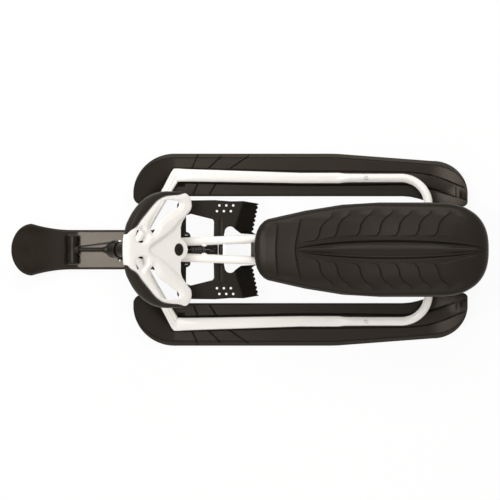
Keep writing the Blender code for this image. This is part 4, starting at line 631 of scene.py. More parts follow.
def ski_section(x, side):
    """Once round the blade: deck, spine and border step above, hollow and keels below. q
    shrinks what is across the blade where it narrows, and h is the spine's height."""
    inner, outer = ski_inner(x), ski_outer(x)
    q = min(1.0, (outer - inner) / (SKI_OUTER - SKI_INNER))
    spine = spine_line(x)
    h = SPINE_HEIGHT * ease((x - FOLD_X + 0.0150) / 0.013) * ease((TAIL_X - x - 0.0167) / 0.100)
    foot, hollow = SPINE_HALF + SPINE_WALL, SPINE_HALF - SPINE_WALL
    ditch = 0.0009 * min(1.0, h / 0.004)
    section = [
        (inner, 0.0042), (inner + 0.0006 * q, 0.0070), (inner + 0.0040 * q, DECK_Z),
        (spine - (foot + 0.0022) * q, DECK_Z), (spine - (foot + 0.0008) * q, DECK_Z - ditch),
        (spine - foot * q, DECK_Z), (spine - SPINE_HALF * q, DECK_Z + h),
        (spine + SPINE_HALF * q, DECK_Z + h), (spine + foot * q, DECK_Z),
        (spine + (foot + 0.0008) * q, DECK_Z - ditch), (spine + (foot + 0.0022) * q, DECK_Z),
        (outer - 0.0132 * q, DECK_Z), (outer - 0.0124 * q, DECK_Z - 0.0020),
        (outer - 0.0112 * q, DECK_Z - 0.0020), (outer - 0.0104 * q, DECK_Z - 0.0006),
        (outer - 0.0008 * q, 0.0066), (outer, 0.0042), (outer - 0.0020 * q, SOLE_Z),
        (outer - 0.0185 * q, SOLE_Z), (outer - 0.0195 * q, 0.0), (outer - 0.0285 * q, 0.0),
        (outer - 0.0295 * q, SOLE_Z), (spine + hollow * q, SOLE_Z),
        (spine + (hollow - 0.0010) * q, DECK_Z + h - SPINE_ROOF),
        (spine - (hollow - 0.0010) * q, DECK_Z + h - SPINE_ROOF), (spine - hollow * q, SOLE_Z),
        (inner + 0.0195 * q, SOLE_Z), (inner + 0.0185 * q, 0.0), (inner + 0.0095 * q, 0.0),
        (inner + 0.0085 * q, SOLE_Z), (inner + 0.0020 * q, SOLE_Z)]
    # more points on the three flat stretches of the deck, for the grooves
    section = filled(filled(filled(section, 14, 6), 10, 20), 2, 14)
    rise = ski_rise(x)
    ring = []
    for y, z in softened(section):
        dent = groove(x, y) if 0.0070 < z < DECK_Z + 0.0005 else 0.0
        ring.append(Vector((x, side * y, z + rise - dent)))
    return ring


def stations(*spans):
    """x places along a blade: each span is (start, end, step)."""
    places = []
    for start, end, step in spans:
        count = max(1, round((end - start) / step))
        places += [start + (end - start) * i / count for i in range(count)]
    return places + [spans[-1][1]]


WARM_BLACK = (1.0, 0.88, 0.74)           # black polymers here gleam a little brown
black_ski = finish("black_ski_plastic", (0.0105, 0.0080, 0.0055), 0.30, tone_drift=0.10,
                   drift_size=0.12, gloss_drift=0.07, grain_size=0.0011, grain_depth=0.00003,
                   scuff=0.05, specular=0.24, gloss_tone=WARM_BLACK)
END_CLEAR = 0.0004                       # from each end to its first section
TIP_CROWD, TAIL_CROWD = 0.030, 0.0246    # where the sections crowd towards an end
ski_places = [TIP_X + END_CLEAR + TIP_CROWD * (1 - math.cos(math.pi * i / 40))
              for i in range(20)]
ski_places += stations((TIP_X + END_CLEAR + TIP_CROWD, -0.186, 0.006), (-0.186, 0.012, 0.0013),
                       (0.012, 0.450, 0.018), (0.450, 0.530, 0.0020))[1:]
ski_places += [TAIL_X - END_CLEAR - TAIL_CROWD * (1 - math.sin(math.pi * i / 40))
               for i in range(1, 21)]
BEAD_R, BEAD_COUNT, BEAD_LEFT_OUT = 0.0011, 14, 6
BEAD_ROWS = (((-0.1560, 0.2092), (-0.0870, 0.2048)), ((-0.1560, 0.1700), (-0.0870, 0.1676)))
for side, hand in SIDES:
    bm = bmesh.new()
    skin_over(bm, [ski_section(x, side) for x in ski_places])
    ski = piece_of("ski_blade_" + hand, bm, black_ski, "frame", 32.0)
    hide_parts("rear_ski_" + hand)
    bm = bmesh.new()
    for row_start, row_end in BEAD_ROWS:
        for i in range(BEAD_COUNT):
            if i == BEAD_LEFT_OUT:
                continue
            x, y = Vector(row_start).lerp(Vector(row_end), i / (BEAD_COUNT - 1))
            bead = Matrix.Translation((x, side * y, DECK_Z - 0.0002))
            bmesh.ops.create_icosphere(bm, subdivisions=2, radius=BEAD_R, matrix=bead)
    piece_of("deck_beads_" + hand, bm, black_ski, "frame")


# Front ski. The same polyethylene: a thin raised line runs inside its edge, two keels guide it
# below, and two ears on its deck hold the hinge pin.
FRONT_TIP_X, FRONT_BACK_X = -0.5853, -0.2053
FRONT_TOP, FRONT_SOLE = 0.0140, 0.0050
FRONT_HALF, NOSE_HALF = 0.050, 0.065     # half the width behind, and at the nose
NOSE_ROUND, NOSE_TAPER = 0.048, 0.097
BACK_CORNER = 0.020
NOSE_RISE, NOSE_RISE_RUN = 0.062, 0.164
LINE_DEEP = 0.0008                       # the groove that sets the raised line off
PIN_X, PIN_Z = -0.3180, 0.0280
EAR_R, EAR_THICK, EAR_APART = 0.0090, 0.0060, 0.0280


def front_half(x):
    """Half the blade's width: a round wide nose, then straight, with round back corners."""
    if x < FRONT_TIP_X + NOSE_ROUND:
        return NOSE_HALF * quarter((x - FRONT_TIP_X) / NOSE_ROUND)
    t = min(1.0, (x - FRONT_TIP_X - NOSE_ROUND) / NOSE_TAPER)
    half = FRONT_HALF + (NOSE_HALF - FRONT_HALF) * (1 - t) ** 2
    return half - BACK_CORNER * (1 - quarter((FRONT_BACK_X - x) / BACK_CORNER))


def front_section(x):
    """Once round the blade, from its right half: deck, raised line, edge, keel and a channel
    below."""
    half = front_half(x)
    q = half / FRONT_HALF
    top, low = FRONT_TOP, FRONT_TOP - LINE_DEEP
    right = [(half - 0.0060 * q, top), (half - 0.0036 * q, top - 0.0001),
             (half - 0.0030 * q, low), (half - 0.0025 * q, low), (half - 0.0019 * q, top),
             (half - 0.0010 * q, top), (half - 0.0004 * q, low), (half, top - 0.0035),
             (half - 0.0014 * q, FRONT_SOLE), (half - 0.0100 * q, FRONT_SOLE),
             (half - 0.0115 * q, 0.0), (half - 0.0205 * q, 0.0), (half - 0.0220 * q, FRONT_SOLE),
             (0.0130 * q, FRONT_SOLE), (0.0100 * q, top - 0.0040)]
    rise = NOSE_RISE * max(0.0, (FRONT_TIP_X + NOSE_RISE_RUN - x) / NOSE_RISE_RUN) ** 1.6
    section = softened(right + [(-y, z) for y, z in reversed(right)], 0.0004)
    return [Vector((x, y, z + rise)) for y, z in section]


def slab(bm, outline, low, high, place, edge):
    """A flat plate: its outline is in (a, b), its faces at two heights, its edges broken."""
    verts = [bm.verts.new((a, b, low)) for a, b in outline]
    face = bm.faces.new(verts)
    grown = bmesh.ops.extrude_face_region(bm, geom=[face])["geom"]
    tops = [v for v in grown if isinstance(v, bmesh.types.BMVert)]
    bmesh.ops.translate(bm, vec=(0.0, 0.0, high - low), verts=tops)
    both = verts + tops
    rims = {e for v in both for e in v.link_edges
            if abs(e.verts[0].co.z - e.verts[1].co.z) < 1e-7}
    made = bmesh.ops.bevel(bm, geom=list(rims), offset=edge, segments=2, profile=0.5,
                           affect="EDGES", material=-1, clamp_overlap=True)
    both = list({v for v in both + made["verts"] if v.is_valid})
    bmesh.ops.transform(bm, matrix=place, verts=both)


def upright(x, z):
    """Stands a flat outline up along the sled, with its thickness across."""
    return Matrix(((1, 0, 0, x), (0, 0, 1, 0), (0, 1, 0, z), (0, 0, 0, 1)))


def round_points(centre, radius, start, end, count):
    """Points on an arc, by degrees."""
    angles = [math.radians(start + (end - start) * i / count) for i in range(count + 1)]
    return [(centre[0] + radius * math.cos(a), centre[1] + radius * math.sin(a)) for a in angles]


NOSE_CLEAR = 0.0002                      # from each end to its first section
front_places = [FRONT_TIP_X + NOSE_CLEAR + NOSE_ROUND * (1 - math.cos(math.pi * i / 64))
                for i in range(32)]
front_places += stations((FRONT_TIP_X + NOSE_CLEAR + NOSE_ROUND, FRONT_TIP_X + 0.170, 0.0035),
                         (FRONT_TIP_X + 0.170, FRONT_BACK_X - BACK_CORNER, 0.020))
front_places += [FRONT_BACK_X - BACK_CORNER
                 + (BACK_CORNER - NOSE_CLEAR) * math.sin(math.pi * i / 32) for i in range(1, 17)]
bm = bmesh.new()
skin_over(bm, [front_section(x) for x in front_places])
front_gloss = finish("front_ski_plastic", (0.0105, 0.0080, 0.0055), 0.15, tone_drift=0.10,
                     drift_size=0.12, gloss_drift=0.03, grain_size=0.0011, grain_depth=0.00001,
                     scuff=0.04, specular=0.30, gloss_tone=WARM_BLACK)
front_blade = piece_of("front_blade", bm, front_gloss, "front_ski", 32.0)
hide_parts("front_ski")
ear_foot = FRONT_TOP - 0.0010 - PIN_Z
ear_outline = round_points((0.0, 0.0), EAR_R, -8.0, 188.0, 24)
ear_outline += [(-0.0100, -0.0060), (-0.0125, -0.0110), (-0.0165, ear_foot), (0.0165, ear_foot),
                (0.0125, -0.0110), (0.0100, -0.0060)]
bm = bmesh.new()
for low in (EAR_APART / 2, -EAR_APART / 2 - EAR_THICK):
    slab(bm, ear_outline, low, low + EAR_THICK, upright(PIN_X, PIN_Z), 0.0009)
piece_of("front_ski_ears", bm, black_ski, "front_ski", 32.0)


# Seat. A moulded pan of black plastic under a long pad of soft black integral foam. The pad has
# a lens-shaped valley with a round rib along its middle, two bowed steps across its nose and
# raised scales down both sides: each rises towards the rear and ends in a small step.
seat_pan_black = finish("seat_pan_plastic", (0.0080, 0.0062, 0.0044), 0.34, tone_drift=0.10,
                        drift_size=0.10, gloss_drift=0.06, grain_size=0.0010,
                        grain_depth=0.00004, scuff=0.04, specular=0.24, gloss_tone=WARM_BLACK)
seat_pan = blunt("seat_pan", seat_pan_black, "frame", 0.0008)
foam_skin = finish("seat_foam_skin", (0.0070, 0.0050, 0.0030), 0.40, tone_drift=0.08,
                   drift_size=0.06, gloss_drift=0.05, grain_size=0.0014, grain_depth=0.00010,
                   scuff=0.03, coat=0.05, coat_roughness=0.16, specular=0.17, gloss_tone=WARM_BLACK)
SEAT_FRONT_X, SEAT_BACK_X = 0.0184, 0.5855
SEAT_BASE = 0.1804
SEAT_HALF, SEAT_SWELL = 0.0745, 0.0385   # half the width behind the nose, and what it gains
SEAT_NOSE, SWELL_RUN, SEAT_TAIL = 0.046, 0.2586, 0.135
SEAT_CLEAR = 0.0003                      # from each end to its first row
CROWN_Z, CROWN_CLIMB = 0.2160, 0.0200    # the pad's top at the nose, and how much it climbs
VALLEY_DEEP, VALLEY_HALF = 0.0088, 0.0232
VALLEY_X, VALLEY_LENGTH = 0.1196, 0.4559
VALLEY_LEAST = 0.0008                    # half width that is left where there is no valley
RIB_SHARE = 0.50                         # the rib stands up through half the valley's depth
STEPS = (0.0692, 0.1160, 0.1645, 0.2074, 0.2621, 0.3099, 0.3548, 0.4021, 0.4481)
SCALE_HEIGHT = 0.0030
STEP_RUN = 0.0034                        # length of the drop at the end of a scale


def fuller(t):
    """From 0 to 1 along a curve that is fuller than a quarter of a circle."""
    return (1 - (1 - min(1.0, max(0.0, t))) ** 2.5) ** 0.4


def seat_half(x):
    """Half the pad's width: a round nose, a slow swell towards the rear and a full tail."""
    if x < SEAT_FRONT_X + SEAT_NOSE:
        t = max(0.0, (x - SEAT_FRONT_X) / SEAT_NOSE)
        return SEAT_HALF * (1 - (1 - t) ** 2.2) ** (1 / 2.2)
    growth = math.sin(math.pi / 2 * min(1.0, (x - SEAT_FRONT_X - SEAT_NOSE) / SWELL_RUN))
    return (SEAT_HALF + SEAT_SWELL * growth) * fuller((SEAT_BACK_X - x) / SEAT_TAIL)


# the corners of the pan's nose follow those of the pad
PAN_HALF, PAN_NOSE, PAN_TAB_HALF = 0.073, 0.034, 0.030
for vert in seat_pan.data.vertices:
    square = PAN_HALF * fuller((vert.co.x - SEAT_FRONT_X) / PAN_NOSE)
    in_nose = vert.co.x < SEAT_FRONT_X + SEAT_NOSE and square > 0.01
    if in_nose and abs(vert.co.y) > PAN_TAB_HALF:
        vert.co.y *= min(1.0, seat_half(vert.co.x) / square)


def between(table, x):
    """Reads a table of (place, value) with straight lines between its rows."""
    if x <= table[0][0]:
        return table[0][1]
    for (x0, v0), (x1, v1) in zip(table, table[1:]):
        if x <= x1:
            return v0 + (v1 - v0) * (x - x0) / (x1 - x0)
    return table[-1][1]


# where the scales start beside the valley, at places along the seat
SCALES_IN = ((0.116, 0.0160), (0.150, 0.0205), (0.200, 0.0287), (0.240, 0.0333),
             (0.475, 0.0333), (0.503, 0.0255), (0.563, 0.0110), (0.580, 0.0090))
SLANT, WAVE, WAVE_COUNT = 0.50, 0.0025, 150.0   # of a row along the scales
HOOK_FROM, HOOK_RUN, HOOK = 0.043, 0.012, 60.0  # its bend near the pad's edge


def chevron(x, y, inner):
    """How far back a row has run at y: bowed across the nose, slanted along the scales."""
    bow = 0.11 * ease((x - 0.03) / 0.04) + 0.14 * ease((x - 0.069) / 0.047)
    bowed = bow * y * y / (y + 0.030)
    out = max(0.0, y - inner + 0.001)
    slanted = SLANT * out + WAVE * math.sin(out * WAVE_COUNT)
    slanted += HOOK * min(HOOK_RUN, max(0.0, out - HOOK_FROM)) ** 2
    on_scales = ease((x - STEPS[1]) / 0.045)
    fade = 1 - ease((x - 0.460) / 0.085)
    return (bowed * (1 - on_scales) + slanted * on_scales) * fade


def scale_lift(x, y, half, inner):
    """The raised scales: a ramp towards the rear that drops at each step."""
    before = 0.030
    for step in STEPS:
        if x <= step + STEP_RUN:
            ramp = ((x - before) / (step - before)) ** 1.4 if x > before else 0.0
            if x > step:
                ramp = 1 - ease((x - step) / STEP_RUN)
            break
        before = step
    else:
        ramp = 0.55 * ease((x - before) / 0.050) * (1 - ease((x - 0.520) / 0.050))
    across = ease((y - inner + 0.0009) / 0.0018) if x > STEPS[1] + STEP_RUN else 1.0
    edge = 1 - ease((y / max(half, 0.001) - 0.74) / 0.13)
    return SCALE_HEIGHT * ramp * across * edge


def valley(y, v):
    """Depth of the valley at y, where v is its half width: steep banks and a soft rib."""
    brink = v * 1.06
    if y >= brink:
        return 0.0
    full = VALLEY_DEEP * min(1.0, max(0.0, v - VALLEY_LEAST) / 0.015)
    bank = ease((brink - y) / (v * 0.34))
    return full * (bank - RIB_SHARE * (1 - ease(y / (v * 0.66))))


def seat_row(x0):
    """Once round the pad. A row starts at x0 on the middle line and runs back with the scales;
    its points crowd where the valley, the scales and the pad's edge turn."""
    lens = math.sin(math.pi * min(1.0, max(0.0, (x0 - VALLEY_X) / VALLEY_LENGTH))) ** 0.55
    v = max(VALLEY_LEAST, VALLEY_HALF * lens)
    inner = between(SCALES_IN, x0)
    q = min(1.0, seat_half(x0) / 0.048)
    flat = [v * s for s in (0.0, 0.10, 0.20, 0.29, 0.36, 0.41, 0.46, 0.54, 0.64, 0.72, 0.80,
                            0.87, 0.93, 0.98, 1.03, 1.08)]
    gap = inner - 0.003 - flat[-1]
    flat += [flat[-1] + gap * s for s in (0.25, 0.5, 0.75)]
    flat += [inner + d for d in (-0.0030, -0.0018, -0.0010, -0.0005, 0.0, 0.0005, 0.0010,
                                 0.0018, 0.0032)]
    flat = [y * q for y in flat]
    half = seat_half(x0)
    for _ in range(4):
        half = seat_half(min(SEAT_BACK_X - SEAT_CLEAR, x0 + chevron(x0, half * 0.9, inner)))
    start = flat[-1] / max(half, 1e-4)
    outer = [start + (0.985 - start) * math.sin(math.pi / 2 * i / 26) for i in range(1, 27)]
    ring = []
    for y in flat + [share * half for share in outer]:
        spread = y / max(q, 0.2)
        x = min(SEAT_BACK_X - SEAT_CLEAR, x0 + chevron(x0, spread, inner))
        ends = fuller((x - SEAT_FRONT_X) / 0.030) * fuller((SEAT_BACK_X - x) / 0.050)
        crown = CROWN_Z + CROWN_CLIMB * ease((x - 0.24) / 0.28)
        top = SEAT_BASE + (crown - SEAT_BASE) * (0.35 + 0.65 * ends)
        round_off = 1 - (1 - min(1.0, y / max(half, 1e-4)) ** 3.6) ** (1 / 3.6)
        z = top - (top - SEAT_BASE) * 0.62 * round_off
        z += scale_lift(x0, spread, half, inner) - valley(spread, v)
        ring.append((x, y, z))
    wall = z - SEAT_BASE
    low = [(1.0, 0.90), (1.0, 0.60), (0.992, 0.28), (0.978, 0.08), (0.962, 0.0), (0.90, 0.0)]
    ring += [(x, half * s, SEAT_BASE + wall * rise) for s, rise in low]
    half_ring = [Vector(p) for p in ring] + [Vector((x0, 0.0, SEAT_BASE))]
    return half_ring + [Vector((p.x, -p.y, p.z)) for p in half_ring[-2:0:-1]]


NOSE_ROWS, TAIL_ROWS = 0.034, 0.0375     # the rows crowd over these lengths at the ends
seat_places = [SEAT_FRONT_X + SEAT_CLEAR + NOSE_ROWS * (1 - math.cos(math.pi * i / 40))
               for i in range(18)]
before = seat_places.pop()
for step in STEPS:
    seat_places += stations((before, step - 0.0012, 0.0036))
    seat_places += [step - 0.0005] + [step + STEP_RUN * i / 6 for i in range(6)]
    before = step + STEP_RUN
seat_places += stations((before, SEAT_BACK_X - TAIL_ROWS, 0.0040))
seat_places += [SEAT_BACK_X - TAIL_ROWS + (TAIL_ROWS - SEAT_CLEAR) * math.sin(math.pi * i / 40)
                for i in range(1, 21)]
bm = bmesh.new()
skin_over(bm, [seat_row(x) for x in seat_places])
seat_pad = piece_of("seat_pad", bm, foam_skin, "frame", 60.0)
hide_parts("seat_cushion")


# Steering wheel. A white moulded shell over a white back, both pierced by four windows. Two
# crested arms rise out of a sunk field round the hub and end as the horns behind the grips.
# Both halves are nets of triangles over their outlines, raised to the height of a function.
def inside(points, loop):
    """Which of many points lie in a closed outline."""
    x, y = points[:, 0], points[:, 1]
    hit = np.zeros(len(points), bool)
    for (ax, ay), (bx, by) in zip(loop, np.roll(loop, -1, axis=0)):
        crosses = (ay > y) != (by > y)
        rise = by - ay if abs(by - ay) > 1e-12 else 1e-12
        hit ^= crosses & (x < (bx - ax) * (y - ay) / rise + ax)
    return hit


def far_from(points, loop):
    """Distance of many points from a closed outline."""
    a, b = loop, np.roll(loop, -1, axis=0)
    ab = b - a
    square = np.maximum((ab * ab).sum(-1), 1e-12)
    least = []
    for part in np.array_split(points, max(1, len(points) // 1500)):
        p = part[:, None, :]
        t = np.clip(((p - a) * ab).sum(-1) / square, 0.0, 1.0)
        least.append(np.sqrt(((a + ab * t[..., None] - p) ** 2).sum(-1)).min(-1))
    return np.concatenate(least)


def inset(loop, by, toward=None):
    """Moves a closed outline inwards by a distance, or outwards if it is negative; with toward,
    only as far as the edge faces that way."""
    ahead, behind = np.roll(loop, -1, axis=0), np.roll(loop, 1, axis=0)
    area = (loop[:, 0] * ahead[:, 1] - ahead[:, 0] * loop[:, 1]).sum()
    along = ahead - behind
    along /= np.maximum(np.linalg.norm(along, axis=1), 1e-12)[:, None]
    facing = np.stack((-along[:, 1], along[:, 0]), axis=1) * np.sign(area)
    share = 1.0 if toward is None else np.clip(facing @ np.array(toward), 0.0, 1.0)[:, None]
    return loop + facing * by * share


def flowing(points, step, sharp=()):
    """A closed outline as a curve through its points, straight into and out of sharp ones."""
    pts = [Vector(p) for p in points]
    out = []
    for i, p1 in enumerate(pts):
        p0, p2, p3 = pts[i - 1], pts[(i + 1) % len(pts)], pts[(i + 2) % len(pts)]
        if i in sharp:
            p0 = p1 * 2 - p2
        if (i + 1) % len(pts) in sharp:
            p3 = p2 * 2 - p1
        t1 = (p1 - p0).length ** 0.5
        t2 = t1 + (p2 - p1).length ** 0.5
        t3 = t2 + (p3 - p2).length ** 0.5
        count = max(1, round((p2 - p1).length / step))
        for j in range(count):
            t = t1 + (t2 - t1) * j / count
            a1, a2 = p0.lerp(p1, t / t1), p1.lerp(p2, (t - t1) / (t2 - t1))
            a3 = p2.lerp(p3, (t - t2) / (t3 - t2))
            b1, b2 = a1.lerp(a2, t / t2), a2.lerp(a3, (t - t1) / (t3 - t1))
            out.append(tuple(b1.lerp(b2, (t - t1) / (t2 - t1))))
    return np.array(out)


def netted(loops, rings, grid):
    """Triangles over an outline less its holes, with rows of points at distances from every
    edge and an even grid inside. Gives points, faces and where each loop's points went."""
    points, edges, starts = [], [], []
    for loop in loops:
        first = len(points)
        starts.append(range(first, first + len(loop)))
        points += [tuple(p) for p in loop]
        edges += [(first + i, first + (i + 1) % len(loop)) for i in range(len(loop))]
    extra = []
    for k, loop in enumerate(loops):
        for d in rings:
            ring = inset(loop, d if k == 0 else -d)
            clear = np.min([far_from(ring, other) for other in loops], axis=0)
            extra += [tuple(p) for p, far in zip(ring, clear) if far > d * 0.96]
    if grid:
        low, high = loops[0].min(axis=0), loops[0].max(axis=0)
        spots = []
        for j in range(int((high[1] - low[1]) / (grid * 0.866)) + 1):
            y = low[1] + j * grid * 0.866
            spots += [(x, y) for x in np.arange(low[0] + grid * 0.5 * (j % 2), high[0], grid)]
        spots = np.array(spots)
        clear = np.min([far_from(spots, loop) for loop in loops], axis=0)
        reach = (rings[-1] if rings else 0.0) + grid * 0.45
        extra += [tuple(p) for p, far in zip(spots, clear) if far > reach]
    flat = [Vector(p) for p in points + extra]
    co, _, faces, origin, _, _ = delaunay_2d_cdt(flat, edges, [], 0, 1e-7)
    where = {old: new for new, olds in enumerate(origin) for old in olds}
    co = np.array([tuple(v) for v in co])
    middles = np.array([co[list(f)].mean(axis=0) for f in faces])
    keep = inside(middles, loops[0])
    for hole in loops[1:]:
        keep &= ~inside(middles, hole)
    kept = [f for f, good in zip(faces, keep) if good]
    return co, kept, [[where[i] for i in span] for span in starts]


AHEAD = (-1.0, 0.0)
LOWER_EDGE = 0.0004                      # how far the edge of a plate's flat side is broken


def moulded(bm, outline, holes, top_of, low, place, rings, grid=0.0, lean=()):
    """A plate with a shaped top, a flat bottom with its edge broken, and straight walls. lean
    says how far the foot of each hole's wall draws back where that wall faces ahead."""
    loops = [outline] + holes
    co, faces, rims = netted(loops, rings, grid)
    edge_gap = np.min([far_from(co, loop) for loop in loops], axis=0)
    heights = top_of(co, edge_gap)
    verts = [bm.verts.new(place @ Vector((x, y, z))) for (x, y), z in zip(co, heights)]
    for face in faces:
        bm.faces.new([verts[i] for i in face])
    low_loops = [outline] + [inset(loop, -lean[k], AHEAD) if k < len(lean) else loop
                             for k, loop in enumerate(holes)]
    base_loops = [inset(loop, LOWER_EDGE if k == 0 else -LOWER_EDGE)
                  for k, loop in enumerate(low_loops)]
    base_rows = []
    for loop, base, rim in zip(low_loops, base_loops, rims):
        rows = [[verts[i] for i in rim]]
        for row, z in ((loop, low + LOWER_EDGE), (base, low)):
            rows.append([bm.verts.new(place @ Vector((x, y, z))) for x, y in row])
        for upper, lower in zip(rows, rows[1:]):
            for i in range(len(upper)):
                j = (i + 1) % len(upper)
                bm.faces.new((upper[i], upper[j], lower[j], lower[i]))
        base_rows.append(rows[-1])
    co, faces, rims = netted(base_loops, (), 0.0)
    stands = {}
    for rim, row in zip(rims, base_rows):
        stands.update(zip(rim, row))
    for face in faces:
        bm.faces.new([stands[i] for i in face])
    for vert in [v for v in bm.verts if not v.link_faces]:
        bm.verts.remove(vert)


def ease_all(t):
    """ease for many numbers at once."""
    t = np.clip(t, 0.0, 1.0)
    return t * t * (3 - 2 * t)


def rounded(gap, radius):
    """How far a rounded edge has fallen at a distance from the rim."""
    short = np.clip(radius - gap, 0.0, radius)
    return radius - np.sqrt(radius * radius - short * short)


def spin(bm, profile, place, steps=48):
    """Turns a row of (radius, height) points round an axis that place sets up."""
    row = [bm.verts.new(place @ Vector((r, 0.0, z))) for r, z in profile]
    edges = [bm.edges.new(pair) for pair in zip(row, row[1:])]
    bmesh.ops.spin(bm, geom=row + edges, cent=place.translation, axis=place.col[2].xyz,
                   angle=2 * math.pi, steps=steps, use_merge=True)
    bmesh.ops.remove_doubles(bm, verts=bm.verts, dist=1e-6)


def spun(name, profile, place, material, body, node=None, steps=48):
    """A turned piece by itself; node is the CAD node that it stands for, where there is one."""
    bm = bmesh.new()
    spin(bm, profile, place, steps)
    piece = piece_of(name, bm, material, body, 35.0)
    if node:
        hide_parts(node)


ON_COLUMN = Matrix.Translation(HUB) @ Matrix.Rotation(RAKE, 4, "Y")
WHEEL_TOP, HUB_FACE, WHEEL_SPLIT, WHEEL_BOTTOM = 0.0070, 0.0005, -0.0040, -0.0140
WHEEL_R, WHEEL_CENTRE = 0.1401, 0.0361
CAP_R = 0.0150
BORE_R = 0.0113                          # of all that the column passes through
# outlines of the right half, from the hub: how far up the wheel's face, and how far across
NOSE = [(0.1749, 0.0), (0.1740, 0.0226), (0.1717, 0.0363)]
RIM = [(0.1599, 0.0460), (0.1412, 0.0553), (0.1251, 0.0723), (0.1090, 0.0866), (0.0954, 0.0995),
       (0.0763, 0.1156), (0.0571, 0.1249), (0.0294, 0.1298), (0.0015, 0.1321)]
HORN = [(-0.0182, 0.1360), (-0.0296, 0.1308), (-0.0367, 0.1209), (-0.0395, 0.1079),
        (-0.0367, 0.0968), (-0.0262, 0.0866), (-0.0190, 0.0764), (-0.0115, 0.0643),
        (-0.0075, 0.0533), (-0.0058, 0.0413), (-0.0085, 0.0273), (-0.0205, 0.0190),
        (-0.0285, 0.0100), (-0.0310, 0.0)]
BIG_WINDOW = [(0.0612, 0.1149), (0.0045, 0.1160), (0.0000, 0.1091), (0.0045, 0.1015),
              (0.0211, 0.0928), (0.0433, 0.0806), (0.0612, 0.0705), (0.0708, 0.0625),
              (0.0785, 0.0506), (0.0886, 0.0393), (0.0957, 0.0475), (0.0962, 0.0603),
              (0.0900, 0.0760), (0.0763, 0.0959)]
SMALL_WINDOW = [(0.1399, 0.0470), (0.1260, 0.0540), (0.1165, 0.0444), (0.1063, 0.0376),
                (0.1049, 0.0268), (0.1103, 0.0190), (0.1238, 0.0156), (0.1386, 0.0185),
                (0.1479, 0.0247), (0.1461, 0.0354)]
FIELD = [(0.0970, 0.0), (0.0615, 0.0211), (0.0227, 0.0440), (-0.0020, 0.0640),
         (-0.0500, 0.0800), (-0.0500, 0.0)]


def on_wheel(points, side=1):
    """Points of an outline in the wheel's own axes, on one side of it."""
    return [(-u, side * v) for u, v in points]


def whole(half):
    """A closed outline from its right half."""
    right = on_wheel(half)
    return right + [(x, -y) for x, y in reversed(right) if y > 1e-6]


wheel_half = NOSE + RIM + HORN
wheel_count = 2 * len(wheel_half) - 2
wheel_loop = flowing(whole(wheel_half), 0.0016, sharp=(2, wheel_count - 2))
windows = [flowing(on_wheel(w, side), 0.0014) for w in (BIG_WINDOW, SMALL_WINDOW)
           for side in (1, -1)]
circle = [2 * math.pi * i / 48 for i in range(48)]
cap_loop = np.array([((CAP_R + GAP) * math.cos(a), (CAP_R + GAP) * math.sin(a)) for a in circle])
field_loop = flowing(whole(FIELD), 0.003)
BANK_DEEP, BANK_RUN = 0.0034, 0.0150     # from an arm's crest down to a big window
RIM_DEEP, RIM_RUN = 0.0014, 0.0100
DISH, DISH_DEEP, DISH_R = (0.1010, 0.0490), 0.0022, 0.0130
SLIT, SLIT_HALF, SLIT_DEEP, SLIT_R = (0.0985, 0.0300), 0.0045, 0.0040, 0.0016


def shell_top(points, _):
    """Height of the shell: a sunk field, crested arms, soft banks at the windows and edges, and
    beside each small window a dish with a slit."""
    field = far_from(points, field_loop) * np.where(inside(points, field_loop), -1.0, 1.0)
    risen = ease_all((field + 0.0035) / 0.0150)
    height = HUB_FACE + (WHEEL_TOP - HUB_FACE) * risen
    big = np.min([far_from(points, w) for w in windows[:2]], axis=0)
    small = np.min([far_from(points, w) for w in windows[2:]], axis=0)
    rim = far_from(points, wheel_loop)
    bank = (1 - ease_all(big / BANK_RUN)) * ease_all((rim - RIM_RUN) / BANK_RUN)
    height -= BANK_DEEP * risen * bank
    height -= RIM_DEEP * risen * (1 - ease_all(rim / RIM_RUN))
    u, v = -points[:, 0], np.abs(points[:, 1])
    dish = np.hypot(u - DISH[0], v - DISH[1])
    height -= DISH_DEEP * (1 - ease_all(dish / DISH_R))
    height -= 0.0010 * (1 - ease_all(small / 0.0060))
    slit = np.hypot(u - SLIT[0], np.maximum(np.abs(v - SLIT[1]) - SLIT_HALF, 0.0))
    height -= SLIT_DEEP * (1 - ease_all(slit / SLIT_R))
    return height - rounded(np.minimum(np.minimum(big, small), rim), 0.0026)


wheel_white = finish("white_wheel_plastic", (0.87, 0.845, 0.80), 0.30, tone_drift=0.012,
                     drift_size=0.05, gloss_drift=0.05, grain_size=0.0012,
                     grain_depth=0.00002, scuff=0.03)
LEAN, BACK_LEAN = 0.0036, 0.0072         # of the big windows' front walls, in each half
bm = bmesh.new()
moulded(bm, wheel_loop, windows + [cap_loop], shell_top, WHEEL_SPLIT + GAP, ON_COLUMN,
        rings=(0.0003, 0.0008, 0.0015, 0.0026, 0.0044, 0.0066), grid=0.0026,
        lean=(LEAN, LEAN))
shell = piece_of("wheel_front", bm, wheel_white, "steering", 40.0)
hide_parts("wheel_shell")

